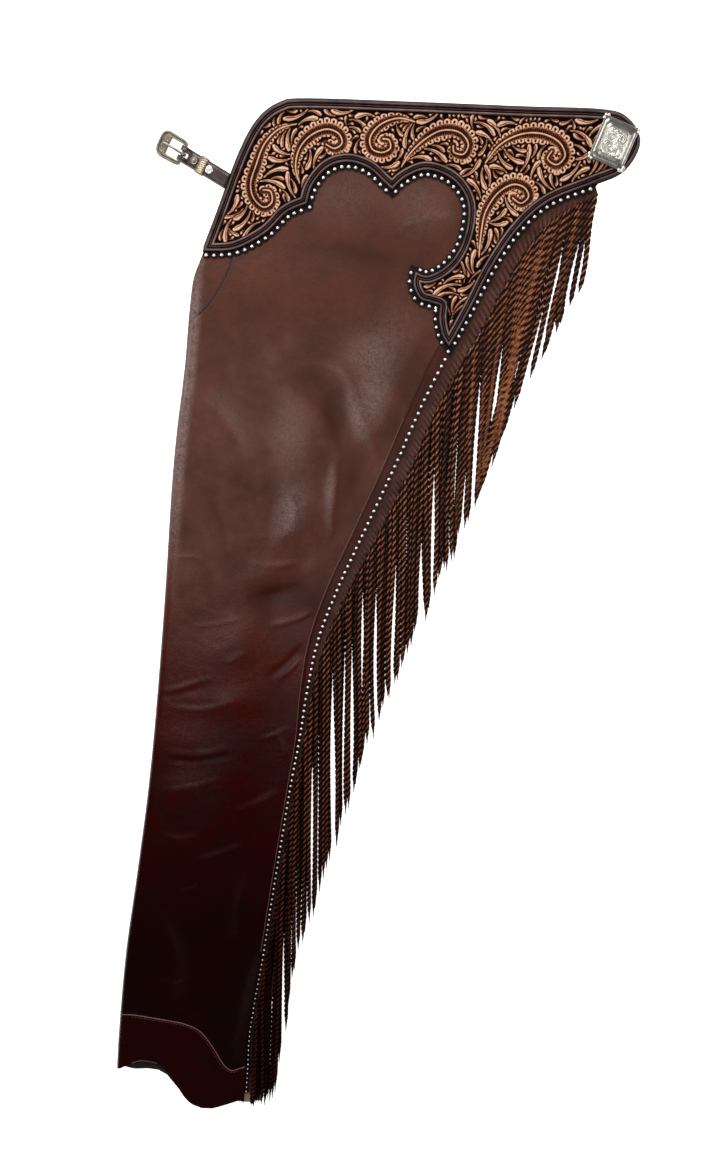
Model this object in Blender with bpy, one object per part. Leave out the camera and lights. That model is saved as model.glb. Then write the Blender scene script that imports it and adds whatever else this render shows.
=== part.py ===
"""One leg of a pair of leather chaps, laid flat with its front up.

The closed leg lies on its back panel, the tooled yoke spreads out above it, and the
fringe hangs down its outer side. +X runs across to the outer side, +Y runs up the leg
and +Z is up. Lengths are in millimetres until add_solid() turns them into metres.

The leg's pieces are cut in plan, as (v, y) outlines: y is the height up the leg and v is
the distance from the crown of the fold at the inner leg. Past the crown, v is negative
and counts on round the fold, along the middle of the leather.
"""
import math
from collections import namedtuple

import bpy
from mathutils import Vector
from mathutils.geometry import delaunay_2d_cdt

MM = 0.001
GAP = 0.3                 # clearance between pieces that touch

# ---- thickness of each material ----
LEG_LEATHER = 1.6
HALF = LEG_LEATHER / 2
UNDERLAY = 1.2
TOOLED_LEATHER = 2.0
HEADER = 1.2
STRIP = 1.2
ZIP_TAPE = 0.8
STRAP_LEATHER = 1.5

# ---- how the leg lies ----
FOLD_RADIUS = 6.0         # outside of the fold at the inner leg
LIP = 12.0                # the front is turned under by this much, past the fold
SIDE_HEIGHT = 3.8         # middle of the front's leather at its outer edge, over the zip
SIDE_FLAT = 14.0          # flat border along the outer edge
SWELL = 2.0               # how far the front swells up between fold and side
FLAT_ABOVE = 430.0        # above this height the front lies on the floor
FULL_BELOW = 330.0        # below this height it lies on the whole leg

# ---- the line down the inner leg, where the front folds under ----
FoldRow = namedtuple("FoldRow", "y x")
FOLD_ROWS = [FoldRow(*row) for row in (
    (520, -72.0), (440, -94.0), (396, -111.4), (376, -120.0), (354, -124.0),
    (300, -131.7), (250, -141.0), (200, -148.6), (100, -161.0), (0, -174.6),
    (-100, -190.0), (-200, -208.6), (-300, -228.0), (-400, -243.0), (-460, -250.5))]

# ---- the line of the side seam, down the yoke's back edge and the outer leg ----
SideRow = namedtuple("SideRow", "x y strip header")     # widths of side strip and fringe header
SIDE_ROWS = [SideRow(*row) for row in (
    (214.0, 448.5, 0.0, 9.0), (177.0, 433.6, 0.0, 13.0), (149.0, 408.4, 0.0, 16.0),
    (129.2, 377.6, 0.0, 16.5), (112.9, 344.7, 0.0, 16.0), (97.3, 315.8, 10.5, 15.0),
    (76.1, 273.5, 10.0, 14.0), (49.6, 212.3, 9.6, 14.5), (22.3, 152.8, 9.2, 13.0),
    (-1.5, 100.0, 9.4, 10.5), (-19.6, 50.0, 8.5, 7.5), (-30.3, 0.0, 6.8, 5.5),
    (-38.5, -50.0, 4.0, 5.0), (-48.1, -100.0, 3.0, 5.0), (-65.3, -200.0, 3.0, 5.0),
    (-81.8, -300.0, 3.0, 5.0), (-99.5, -400.0, 3.0, 5.0), (-104.0, -450.0, 3.0, 5.0),
    (-108.8, -506.0, 3.0, 5.0))]
STRIP_END = -488.0        # strip and fringe header stop here
SEAM_INSET = 2.3          # the front's edge lies this far inside the side line
HEADER_INSET = 1.7        # and the edge of the fringe's header this far
STRIP_OVERHANG = 1.7      # the strip covers the header by this much

# ---- soft folds in the front: middle, half length, half width, height and direction ----
SoftFold = namedtuple("SoftFold", "x y length width height angle")
SOFT_FOLDS = [SoftFold(*row) for row in (
    (22, 262, 75, 24, 1.3, 78), (-38, 300, 42, 22, -1.1, 30), (-45, 104, 55, 17, -1.3, 22),
    (-92, 60, 60, 20, 0.9, 70), (-100, -10, 55, 13, 1.1, 4), (-120, -170, 110, 26, 1.2, 79),
    (-165, -300, 80, 22, -0.9, 80))]

# ---- seams and edges of the leg's pieces ----
THIGH_SEAM = [(-86.0, 402.0), (-87.4, 392.0), (-90.0, 383.0), (-96.2, 371.7),
              (-105.4, 358.0), (-116.2, 346.5)]                # x, y where it lies on top
THIGH_SEAM_FOLD = 337.5   # height of that seam on the fold, and where the lip ends
THIGH_SEAM_LIP = 322.0
CROTCH_FOLD = 358.0       # height of the crotch edge on the fold, and on the lip
CROTCH_LIP = 346.0
HEM_SEAM = [(-226.0, -374.5), (-208.0, -378.0), (-187.0, -383.3), (-169.0, -389.5),
            (-153.1, -402.0), (-140.0, -427.4), (-133.3, -444.0), (-127.3, -453.8),
            (-121.5, -457.5), (-114.5, -454.5)]
HEM_SEAM_FOLD = -377.0
HEM_SEAM_LIP = -379.0
FRONT_HEM = [(-232.6, -440.5), (-221.0, -437.5), (-209.2, -439.2), (-199.5, -444.0),
             (-191.5, -454.8), (-183.6, -471.5), (-176.4, -489.0), (-168.0, -500.8),
             (-158.0, -507.5), (-146.5, -509.6), (-129.6, -505.0), (-114.4, -499.0)]
FRONT_HEM_FOLD = -451.5
FRONT_HEM_LIP = -458.0
BACK_HEM = [(-216.0, -457.5), (-205.0, -459.5), (-196.0, -466.0), (-187.0, -481.0),
            (-178.0, -496.0), (-168.0, -503.5), (-152.0, -506.5), (-136.0, -503.5),
            (-116.0, -497.5), (-92.0, -496.0)]
BACK_TOP = [(104.0, 303.0), (60.0, 306.0), (0.0, 315.0), (-60.0, 330.0)]
BACK_EDGE = 18.0          # the back's outer edge lies this far past the side line

# ---- the yoke's edge: corners are sharp, the other points lie on round stretches ----
EdgePoint = namedtuple("EdgePoint", "x y corner")
YOKE_EDGE = [EdgePoint(*row) for row in (
    (-111.0, 396.5, True), (-84.0, 398.0, False), (-58.0, 410.5, False),
    (-40.0, 426.3, False), (-23.0, 433.3, True), (-18.2, 446.8, False),
    (-6.0, 460.0, False), (10.0, 464.5, False), (27.0, 460.0, False),
    (40.0, 449.5, False), (46.9, 443.6, True), (58.0, 453.0, False),
    (75.0, 458.6, False), (95.0, 452.0, False), (107.6, 437.0, False),
    (109.0, 419.0, False), (103.0, 399.0, False), (92.0, 385.5, False),
    (77.3, 378.3, False), (66.5, 381.7, True), (65.0, 370.5, False),
    (70.5, 359.3, False), (80.0, 355.8, False), (88.0, 353.6, True),
    (87.3, 343.0, False), (90.3, 329.5, False), (97.0, 319.2, True),
    (114.0, 350.3, False), (131.0, 383.3, False), (152.0, 414.0, False),
    (176.0, 434.7, False), (212.0, 448.7, False), (236.0, 459.2, False),
    (247.0, 480.0, False), (236.0, 497.0, False), (214.8, 503.2, False),
    (150.0, 505.3, False), (60.0, 508.6, False), (-22.6, 511.0, False),
    (-44.0, 508.3, False), (-62.0, 496.1, False), (-77.2, 472.5, False),
    (-95.0, 433.0, False))]
PINKED_FROM = (-111.0, 396.5)      # the underlay's edge is pinked between these two points
PINKED_TO = (212.0, 448.7)
PINK_PITCH = 6.35
PINK_VALLEY = 3.2
PINK_PEAK = 4.9
UNDERLAY_PEEK = 1.1       # how far the underlay shows past the yoke's plain edge
BORDER_WIDTH = 7.0
BORDER_RIBS = ((1.5, 3.9), (3.4, 3.2), (5.3, 4.3))      # distance in from the edge, height
BORDER_EDGE = 3.1
BORDER_INSIDE = 3.7
YOKE_REST = UNDERLAY + GAP                              # where yoke and border lie

# The front goes on under the yoke up to this edge, clear of the strap's end
FRONT_UNDER_YOKE = [(200.0, 446.0), (221.0, 455.0), (231.0, 479.0), (216.0, 491.0),
                    (150.0, 493.5), (60.0, 496.5), (-20.0, 499.0), (-40.0, 495.0),
                    (-52.0, 485.0), (-64.0, 464.0), (-77.0, 436.0), (-85.0, 412.0)]

# ---- zip, as distances outwards from the side line ----
ZIP_TOP = 299.0
TAPE_FRONT = (-9.0, 5.0)
TAPE_FRONT_END = -503.5
TAPE_BACK = (7.4, 17.4)
TAPE_BACK_END = -500.5
TAPE_REST = LEG_LEATHER + GAP
SLIDER = (3.9, 8.6)
SLIDER_ENDS = (-497.5, -489.5)
SLIDER_HEIGHT = 2.0

# ---- fringe ----
FringeRow = namedtuple("FringeRow", "y lean length")    # height of the root, degrees inwards
FRINGE_ROWS = [FringeRow(*row) for row in (
    (442, 11.0, 84), (415, 10.6, 150), (385, 10.0, 182), (350, 9.2, 200), (290, 8.5, 214),
    (205, 7.5, 222), (140, 6.2, 246), (60, 5.0, 262), (0, 4.6, 266), (-100, 4.3, 250),
    (-170, 3.9, 246), (-260, 3.2, 248), (-360, 2.3, 240), (-480, 1.0, 200))]
FRINGE_FLOOR = -508.0     # every strand is cut off at this height at the latest
FringePart = namedtuple("FringePart", "name top bottom layers")
FRINGE_PARTS = [FringePart(*row) for row in (
    ("fringe_upper", 448.5, 322.0, 2), ("fringe_middle", 322.0, 18.0, 2),
    ("fringe_lower", 18.0, STRIP_END, 3))]
LAST_ROOT = -462.0
STRAND_WIDTH = 3.6
STRAND_TIP = 2.2
STRAND_THICKNESS = 1.9
LAYER_STEP = 2.5
STRAND_PITCH = 8.0        # least distance between roots
LAYER_SPACING = 4.3       # least distance between strands of one layer
ROOT_WIDTH = 3.2
STUB = 3.4                # straight out of the header, then round into the hanging stretch

# ---- strap and buckle, along a line from the buckle's bar up under the yoke ----
BAR = Vector((-123.5, 471.1, 4.25))
STRAP_ANGLE = 150.4       # degrees from +X to the direction away from the yoke
STRAP_WIDTH = 12.4
SLOT_WIDTH = 3.8          # for the tongue, through the strap's fold
BAR_HALF = 0.9
LOOP_RADIUS = 2.35        # middle of the strap's leather round the bar
LOWER_LAYER = 1.9
UPPER_LAYER = 3.7
BUCKLE_TILT = 7.3         # the buckle leans down to the floor, in degrees
FRAME_LENGTH = 21.9
FRAME_WIDTH = 21.0
FRAME_THICKNESS = 2.0
WINDOW = (1.3, 13.4, 6.75)          # near end, far end and half width
SCREWS = ((10.2, 5.8), (24.0, 6.5))  # distance from the bar, diameter
SCREW_HEIGHT = 1.3
KEEPER = (14.0, 20.6)
KEEPER_WALL = 0.75
TONGUE_RADIUS = (1.6, 2.6)
TONGUE_WIDTH = 2.4
TONGUE_REACH = 17.8

# ---- concho ----
CONCHO_CENTRE = (225.3, 478.7)
CONCHO_SIZE = (28.5, 31.5)
CONCHO_TURN = -21.0
CONCHO_THICKNESS = 1.8
BEAD = 2.8


# ============================ curves and outlines ============================

def smoothstep(low, high, value):
    """0 below low, 1 above high, and a soft step between them."""
    t = min(max((value - low) / (high - low), 0.0), 1.0)
    return t * t * (3.0 - 2.0 * t)


def through_rows(rows, column, y):
    """A column's value at height y, on a smooth curve through rows of falling y."""
    heights = [row.y for row in rows]
    values = [getattr(row, column) for row in rows]
    last = len(rows) - 1
    if y >= heights[0]:
        return values[0]
    if y <= heights[last]:
        return values[last]
    k = next(i for i in range(last) if heights[i] >= y >= heights[i + 1])

    def slope(i):
        a, b = max(i - 1, 0), min(i + 1, last)
        return (values[b] - values[a]) / (heights[b] - heights[a])

    span = heights[k + 1] - heights[k]
    t = (y - heights[k]) / span
    start, end = slope(k) * span, slope(k + 1) * span
    return (values[k] * (2 * t**3 - 3 * t**2 + 1) + start * (t**3 - 2 * t**2 + t)
            + values[k + 1] * (3 * t**2 - 2 * t**3) + end * (t**3 - t**2))


def curve(points, step, closed=False):
    """Points about a step apart on a smooth curve through the given points."""
    count = len(points)
    result = []
    for i in range(count if closed else count - 1):
        before = points[(i - 1) % count] if closed or i > 0 else points[0]
        a, b = points[i], points[(i + 1) % count]
        after = points[(i + 2) % count] if closed or i + 2 < count else points[-1]
        pieces = max(1, round(math.dist(a, b) / step))
        for j in range(pieces):
            t = j / pieces
            result.append(tuple(
                0.5 * (2 * a[c] + (b[c] - before[c]) * t
                       + (2 * before[c] - 5 * a[c] + 4 * b[c] - after[c]) * t**2
                       + (3 * a[c] - before[c] - 3 * b[c] + after[c]) * t**3)
                for c in (0, 1)))
    if not closed:
        result.append(tuple(points[-1][:2]))
    return result


def edge_loop(rows, step):
    """A closed outline: smooth between its corners."""
    points = []
    corners = [i for i, row in enumerate(rows) if row.corner]
    for start, end in zip(corners, corners[1:] + [corners[0] + len(rows)]):
        stretch = [rows[i % len(rows)][:2] for i in range(start, end + 1)]
        points += curve(stretch, step)[:-1]
    return points


def resampled(points, step):
    """The same open line with points an even step apart."""
    total = sum(math.dist(a, b) for a, b in zip(points, points[1:]))
    count = max(2, round(total / step) + 1)
    result, walked, k = [], 0.0, 0
    for i in range(count):
        target = total * i / (count - 1)
        while k < len(points) - 2 and walked + math.dist(points[k], points[k + 1]) < target:
            walked += math.dist(points[k], points[k + 1])
            k += 1
        a, b = points[k], points[k + 1]
        t = (target - walked) / max(math.dist(a, b), 1e-9)
        result.append((a[0] + (b[0] - a[0]) * t, a[1] + (b[1] - a[1]) * t))
    return result


def distance_to(line, x, y, closed=True):
    """Distance from a point to a line of points."""
    best = 1e9
    pairs = zip(line, line[1:] + line[:1]) if closed else zip(line, line[1:])
    for (ax, ay), (bx, by) in pairs:
        dx, dy = bx - ax, by - ay
        t = ((x - ax) * dx + (y - ay) * dy) / max(dx * dx + dy * dy, 1e-12)
        t = min(max(t, 0.0), 1.0)
        best = min(best, math.hypot(x - ax - t * dx, y - ay - t * dy))
    return best


def inside(loop, x, y):
    """Whether a point lies inside a closed outline."""
    odd = False
    for (ax, ay), (bx, by) in zip(loop, loop[1:] + loop[:1]):
        if (ay > y) != (by > y) and x < ax + (y - ay) / (by - ay) * (bx - ax):
            odd = not odd
    return odd


def moved_out(points, distance, closed=True):
    """A line moved sideways, to the right of its direction. Round a counterclockwise
    outline that is outwards. distance may be a number or one number for each point."""
    count = len(points)
    each = distance if isinstance(distance, (list, tuple)) else [distance] * count
    result = []
    for i in range(count):
        before = points[i - 1] if closed or i > 0 else None
        after = points[(i + 1) % count] if closed or i < count - 1 else None
        normals = []
        for a, b in ((before, points[i]), (points[i], after)):
            if a is not None and b is not None:
                length = math.dist(a, b)
                normals.append(((b[1] - a[1]) / length, (a[0] - b[0]) / length))
        nx = sum(n[0] for n in normals)
        ny = sum(n[1] for n in normals)
        size = math.hypot(nx, ny)
        stretch = min(len(normals) / size, 1.9)
        result.append((points[i][0] + nx / size * stretch * each[i],
                       points[i][1] + ny / size * stretch * each[i]))
    if not closed:
        return result
    clear = [p for p, d in zip(result, each) if distance_to(points, *p) > abs(d) - 0.12]
    return [p for i, p in enumerate(clear) if math.dist(p, clear[i - 1]) > 0.6]


# ============================ how the leg lies ============================

def fold_x(y):
    return through_rows(FOLD_ROWS, "x", y)


def side_x(y):
    return through_rows(SIDE_ROWS, "x", y)


def rise(y):
    """1 over the leg, 0 where the front lies on the floor."""
    return 1.0 - smoothstep(FULL_BELOW, FLAT_ABOVE, y)


def fold_radius(y):
    return HALF + rise(y) * (FOLD_RADIUS - HALF)


def crown_x(y):
    """Where the front starts to turn under."""
    return fold_x(y) + fold_radius(y)


def soft_folds(x, y):
    height = 0.0
    for fold in SOFT_FOLDS:
        turn = math.radians(fold.angle)
        along = (x - fold.x) * math.cos(turn) + (y - fold.y) * math.sin(turn)
        across = (y - fold.y) * math.cos(turn) - (x - fold.x) * math.sin(turn)
        height += fold.height * math.exp(-(along / fold.length)**2 - (across / fold.width)**2)
    return height


def sheet_height(x, y):
    """Height of the middle of the front's leather, carried on past its edges."""
    start, end = crown_x(y), side_x(y) - SIDE_FLAT
    q = min(max((x - start) / (end - start), 0.0), 1.0)
    crown = 2 * FOLD_RADIUS - HALF
    height = crown + (SIDE_HEIGHT - crown) * smoothstep(0, 1, q)
    height += (SWELL + soft_folds(x, y)) * math.sin(math.pi * q)**2
    return HALF + rise(y) * (height - HALF)


def leg_point(v, y, lift):
    """A point of the front, at a height over the middle of its leather."""
    crown = crown_x(y)
    if v >= 0:
        return (crown + v, y, sheet_height(crown + v, y) + lift)
    radius = max(fold_radius(y) - HALF, 0.01)
    angle = -v / radius
    if angle <= math.pi:
        reach = radius + lift
        return (crown - reach * math.sin(angle), y, fold_radius(y) + reach * math.cos(angle))
    return (crown - v - math.pi * radius, y, HALF - lift)


def yoke_point(x, y, lift):
    """A point of the yoke, at a height over the underside of its underlay."""
    return (x, y, sheet_height(x, y) + HALF + GAP + lift)


def on_fold(y, turn):
    """v on the fold: turn is 0 at the crown, 0.5 at the outermost line, 1 underneath."""
    return -math.pi * (fold_radius(y) - HALF) * turn


def on_lip(y):
    """v at the end of the turned-under lip."""
    return on_fold(y, 1) - LIP


def on_top(points):
    """(x, y) points of the front's top as (v, y)."""
    return [(x - crown_x(y), y) for x, y in points]


def side_line():
    """The side line as dense points, from the yoke's end down to the hem."""
    top, bottom = SIDE_ROWS[0].y, SIDE_ROWS[-1].y
    count = 1200
    fine = [(side_x(top + (bottom - top) * i / count), top + (bottom - top) * i / count)
            for i in range(count + 1)]
    return resampled(fine, 4.0)


SIDE_LINE = side_line()


def side_stretch(top, bottom):
    """The side line between two heights, with points exactly there."""
    middle = [p for p in SIDE_LINE if bottom + 1.0 < p[1] < top - 1.0]
    return [(side_x(top), top)] + middle + [(side_x(bottom), bottom)]


def beside(line, distance):
    """A stretch of the side line moved outwards; distance is a number or a function of y."""
    if callable(distance):
        distance = [distance(y) for _, y in line]
    if isinstance(distance, (int, float)):
        distance = [distance] * len(line)
    return moved_out(line, [-d for d in distance], closed=False)


# ============================ solids ============================

def make_material(name, colour, roughness, metallic=0.0):
    material = bpy.data.materials.new(name)
    material.use_nodes = True
    shader = material.node_tree.nodes["Principled BSDF"]
    shader.inputs["Base Color"].default_value = (*colour, 1.0)
    shader.inputs["Roughness"].default_value = roughness
    shader.inputs["Metallic"].default_value = metallic
    return material


def add_solid(name, vertices, faces, material, sharp_above=40.0):
    """One object from a closed mesh in millimetres."""
    mesh = bpy.data.meshes.new(name)
    mesh.from_pydata([Vector(v) * MM for v in vertices], [], faces)
    mesh.materials.append(material)
    mesh.shade_smooth()
    mesh.set_sharp_from_angle(angle=math.radians(sharp_above))
    solid = bpy.data.objects.new(name, mesh)
    bpy.context.scene.collection.objects.link(solid)
    return solid


def turned_area(points, triangle):
    """Twice a triangle's area, negative if it runs clockwise."""
    (ax, ay), (bx, by), (cx, cy) = (points[i] for i in triangle)
    return (bx - ax) * (cy - ay) - (cx - ax) * (by - ay)


def enclosed(points, triangles, loops):
    """The triangles inside the first loop and outside the others, found by regions so
    that a sliver goes with its neighbours."""
    walls, first = set(), 0
    for loop in loops:
        walls.update(frozenset((first + i, first + (i + 1) % len(loop)))
                     for i in range(len(loop)))
        first += len(loop)
    sides = [[frozenset((t[0], t[1])), frozenset((t[1], t[2])), frozenset((t[2], t[0]))]
             for t in triangles]
    owners = {}
    for number, edges in enumerate(sides):
        for edge in edges:
            owners.setdefault(edge, []).append(number)
    kept, seen = [], set()
    for seed in range(len(triangles)):
        if seed in seen:
            continue
        seen.add(seed)
        region, queue, open_ended = [], [seed], False
        while queue:
            number = queue.pop()
            region.append(triangles[number])
            for edge in sides[number]:
                if edge in walls:
                    continue
                open_ended = open_ended or len(owners[edge]) == 1
                fresh = [other for other in owners[edge] if other not in seen]
                seen.update(fresh)
                queue += fresh
        largest = max(region, key=lambda t: abs(turned_area(points, t)))
        x, y = (sum(points[i][c] for i in largest) / 3 for c in (0, 1))
        if not open_ended and not any(inside(hole, x, y) for hole in loops[1:]):
            kept += region
    return kept


def fill(loops, lines, extra, squeeze):
    """Triangles inside the first loop and outside the others, through all the points.
    Returns the points and the triangles; the loops' points come first, in order."""
    points, edges = [], []
    for line, closed in [(loop, True) for loop in loops] + lines:
        first = len(points)
        points += line
        edges += [(first + i, first + i + 1) for i in range(len(line) - 1)]
        if closed:
            edges.append((first + len(line) - 1, first))
    points += extra
    flat = [Vector((x, y * squeeze)) for x, y in points]
    out, _, found, sources, _, _ = delaunay_2d_cdt(flat, edges, [], 0, 1e-7, True)
    if any(not source for source in sources) or len(out) != len(points):
        raise ValueError("outlines cross")
    triangles = [tuple(sources[i][0] for i in triangle) for triangle in found]
    return points, [t if turned_area(points, t) > 0 else t[::-1]
                    for t in enclosed(points, triangles, loops)]


def clear_points(candidates, lines, outline, holes, clearance):
    """The candidates inside an outline, clear of its holes and of every line."""
    return [p for p in candidates
            if inside(outline, *p) and not any(inside(hole, *p) for hole in holes)
            and all(distance_to(line, *p, closed) > clearance for line, closed in lines)]


def plate(name, outline, place, under, over, material, holes=(), ribs=(), grid=(),
          clearance=2.0, squeeze=1.0, sharp_above=40.0):
    """A closed sheet between two heights. outline and holes run counterclockwise in plan,
    place(x, y, height) lays a point, ribs are (points, height, closed) lines in its upper
    face, and grid holds more points to follow the surface with."""
    loops = [outline, *holes]
    lines = [(points, closed) for points, _, closed in ribs]
    grid = clear_points(grid, [(loop, True) for loop in loops] + lines, outline, holes, clearance)
    top, top_faces = fill(loops, lines, grid, squeeze)
    bottom, bottom_faces = fill(loops, [], grid, squeeze)
    edge_count = sum(len(loop) for loop in loops)
    heights = [over] * edge_count
    for points, height, _ in ribs:
        heights += [height] * len(points)
    closed_ribs = [(points, height) for points, height, closed in ribs if closed]
    for x, y in grid:
        within = [height for points, height in closed_ribs if inside(points, x, y)]
        heights.append(within[-1] if within else over)
    vertices = [place(x, y, height) for (x, y), height in zip(top, heights)]
    first = len(vertices)
    vertices += [place(x, y, under) for x, y in bottom]
    faces = list(top_faces)
    faces += [(first + c, first + b, first + a) for a, b, c in bottom_faces]
    start = 0
    for number, loop in enumerate(loops):
        for i in range(len(loop)):
            a, b = start + i, start + (i + 1) % len(loop)
            if number > 0:
                a, b = b, a
            faces.append((first + a, first + b, b, a))
        start += len(loop)
    return add_solid(name, vertices, faces, material, sharp_above)


def plan_grid(left, bottom, right, top, spacing):
    """Points a spacing apart in staggered rows over a box."""
    points = []
    for j in range(int((top - bottom) / spacing) + 1):
        shift = spacing / 2 if j % 2 else 0.0
        for i in range(int((right - left) / spacing) + 1):
            points.append((left + shift + i * spacing, bottom + j * spacing))
    return points


# ============================ the leg ============================

FOLD_STEPS = 6
LEG_ROW_STEP = 32.0
RISING_ROW_STEP = 13.0
LEG_COLUMN_STEP = 25.0
LEG_SQUEEZE = 0.35


def leg_grid(bottom, top):
    """Points that follow the fold and the front between two heights, in rows that are
    closer together where the leg rises from the floor."""
    points = []
    y = bottom + LEG_ROW_STEP / 2
    while y < top:
        y += RISING_ROW_STEP if FULL_BELOW - 15 < y < FLAT_ABOVE + 5 else LEG_ROW_STEP
        if y < FLAT_ABOVE - 40:
            points += [(on_fold(y, i / FOLD_STEPS), y) for i in range(FOLD_STEPS)]
        points += [(8.0 + i * LEG_COLUMN_STEP, y) for i in range(15)]
    return points


def bent_round_fold(outline):
    """The same (v, y) outline with more points where it crosses the fold."""
    result = []
    for (av, ay), (bv, by) in zip(outline, outline[1:] + outline[:1]):
        result.append((av, ay))
        crossings = []
        for i in range(FOLD_STEPS + 1):
            line_a = on_fold(ay, i / FOLD_STEPS)
            line_b = on_fold(by, i / FOLD_STEPS)
            before, after = av - line_a, bv - line_b
            if before * after < 0:
                crossings.append(before / (before - after))
        for t in sorted(crossings):
            if 0.08 < t < 0.92:
                result.append((av + (bv - av) * t, ay + (by - ay) * t))
    return result


def seam_line(points, fold_height, lip_height):
    """A seam from the lip, over the fold and across the top, as (v, y)."""
    start = [(on_lip(lip_height), lip_height), (on_fold(fold_height, 0.5), fold_height)]
    return start + curve(on_top(points), 9.0)


def lip_heights():
    """Heights down the lip's edge between the seams, without the two seams."""
    count = round((THIGH_SEAM_LIP - HEM_SEAM_LIP) / 40.0)
    step = (THIGH_SEAM_LIP - HEM_SEAM_LIP) / count
    return [THIGH_SEAM_LIP - step * i for i in range(1, count)]


def front_edge(bottom, top):
    """Up the front's outer edge, from bottom to top, as (v, y)."""
    line = resampled(side_stretch(top, bottom), 14.0)
    return on_top(beside(line, -SEAM_INSET)[::-1])


def build_front(leather):
    hem = seam_line(HEM_SEAM, HEM_SEAM_FOLD, HEM_SEAM_LIP)
    thigh = seam_line(THIGH_SEAM[::-1], THIGH_SEAM_FOLD, THIGH_SEAM_LIP)[::-1]
    outer = front_edge(HEM_SEAM[-1][1], 442.0)
    under_yoke = on_top(curve(FRONT_UNDER_YOKE, 16.0))
    lip = [(on_lip(y), y) for y in lip_heights()]
    outline = hem + outer + under_yoke + thigh + lip
    plate("front_panel", bent_round_fold(outline), leg_point, -HALF, HALF, leather,
          grid=leg_grid(-470.0, 480.0), clearance=1.6, squeeze=LEG_SQUEEZE)


def build_inner_thigh(leather):
    thigh = seam_line(THIGH_SEAM[::-1], THIGH_SEAM_FOLD, THIGH_SEAM_LIP)
    seam = moved_out(thigh, -GAP, closed=False)
    free_edge = [(on_fold(y, 0.5), y) for y in (396.0, 384.0, 371.0, CROTCH_FOLD)]
    corner = on_top([(-96.0, 403.0), (-107.0, 402.0)])
    crotch = [(on_lip(CROTCH_LIP), CROTCH_LIP)]
    plate("inner_thigh_panel", bent_round_fold(seam + corner + free_edge + crotch),
          leg_point, -HALF, HALF, leather, grid=leg_grid(320.0, 400.0), clearance=1.2,
          squeeze=LEG_SQUEEZE)


def build_hem_band(leather):
    hem = seam_line(FRONT_HEM, FRONT_HEM_FOLD, FRONT_HEM_LIP)
    seam = seam_line(HEM_SEAM, HEM_SEAM_FOLD, HEM_SEAM_LIP)
    top = moved_out(seam, GAP, closed=False)[::-1]
    outer = front_edge(-503.5, HEM_SEAM[-1][1] - GAP)
    plate("hem_band", bent_round_fold(hem + outer + top[1:]), leg_point, -HALF, HALF,
          leather, grid=leg_grid(-520.0, -370.0), clearance=1.6, squeeze=LEG_SQUEEZE)


def flat_point(x, y, height):
    return (x, y, height)


def build_back(leather):
    heights = [THIGH_SEAM_LIP, *lip_heights(), HEM_SEAM_LIP]
    inner = [(crown_x(y) + LIP + GAP, y) for y in heights]
    top = curve([(side_x(ZIP_TOP) + BACK_EDGE, ZIP_TOP)] + BACK_TOP
                + [(crown_x(CROTCH_LIP) + LIP + GAP, CROTCH_LIP)], 30.0)
    hem_start = (crown_x(FRONT_HEM_LIP) + LIP + GAP, FRONT_HEM_LIP)
    hem = curve([hem_start] + BACK_HEM, 16.0)
    outer = beside(resampled(side_stretch(ZIP_TOP - 6, -488.0), 45.0), BACK_EDGE)[::-1]
    outline = hem + outer + top + inner
    plate("back_panel", outline, flat_point, 0.0, LEG_LEATHER, leather,
          grid=plan_grid(-240.0, -500.0, 100.0, 340.0, 60.0), clearance=20.0)


def build_zip(tape, metal):
    for name, (near, far), end in (("zip_tape_front", TAPE_FRONT, TAPE_FRONT_END),
                                   ("zip_tape_back", TAPE_BACK, TAPE_BACK_END)):
        line = resampled(side_stretch(ZIP_TOP, end), 30.0)
        outline = beside(line, far)[::-1] + beside(line, near)
        plate(name, outline, flat_point, TAPE_REST, TAPE_REST + ZIP_TAPE, tape)
    low, high = SLIDER_ENDS
    line = [(side_x(high), high), (side_x((low + high) / 2), (low + high) / 2), (side_x(low), low)]
    outline = beside(line, SLIDER[1])[::-1] + beside(line, SLIDER[0])
    rest = TAPE_REST + ZIP_TAPE + GAP
    plate("zip_slider", outline, flat_point, rest, rest + SLIDER_HEIGHT, metal)


def build_side_strip(leather):
    top = SIDE_ROWS[5].y - 4.5
    line = resampled(side_stretch(top, STRIP_END), 14.0)
    left = beside(line, lambda y: -through_rows(SIDE_ROWS, "strip", y))
    right = beside(line, STRIP_OVERHANG)
    plate("side_strip", right[::-1] + left, yoke_point, 0.0, STRIP, leather)


# ============================ the yoke ============================

YOKE_STEP = 15.0


def pinked_loop():
    """The underlay's outline: pinked below and behind, plain along the top."""
    edge = edge_loop(YOKE_EDGE, 2.0)
    start = min(range(len(edge)), key=lambda i: math.dist(edge[i], PINKED_FROM))
    edge = edge[start:] + edge[:start]
    end = min(range(len(edge)), key=lambda i: math.dist(edge[i], PINKED_TO))
    pinked = resampled(edge[:end + 1], PINK_PITCH / 2)
    plain = resampled(edge[end:] + edge[:1], 9.0)[1:-1]
    reach = [PINK_PEAK if i % 2 else PINK_VALLEY for i in range(len(pinked))]
    return moved_out(pinked + plain, reach + [UNDERLAY_PEEK] * len(plain))


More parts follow.
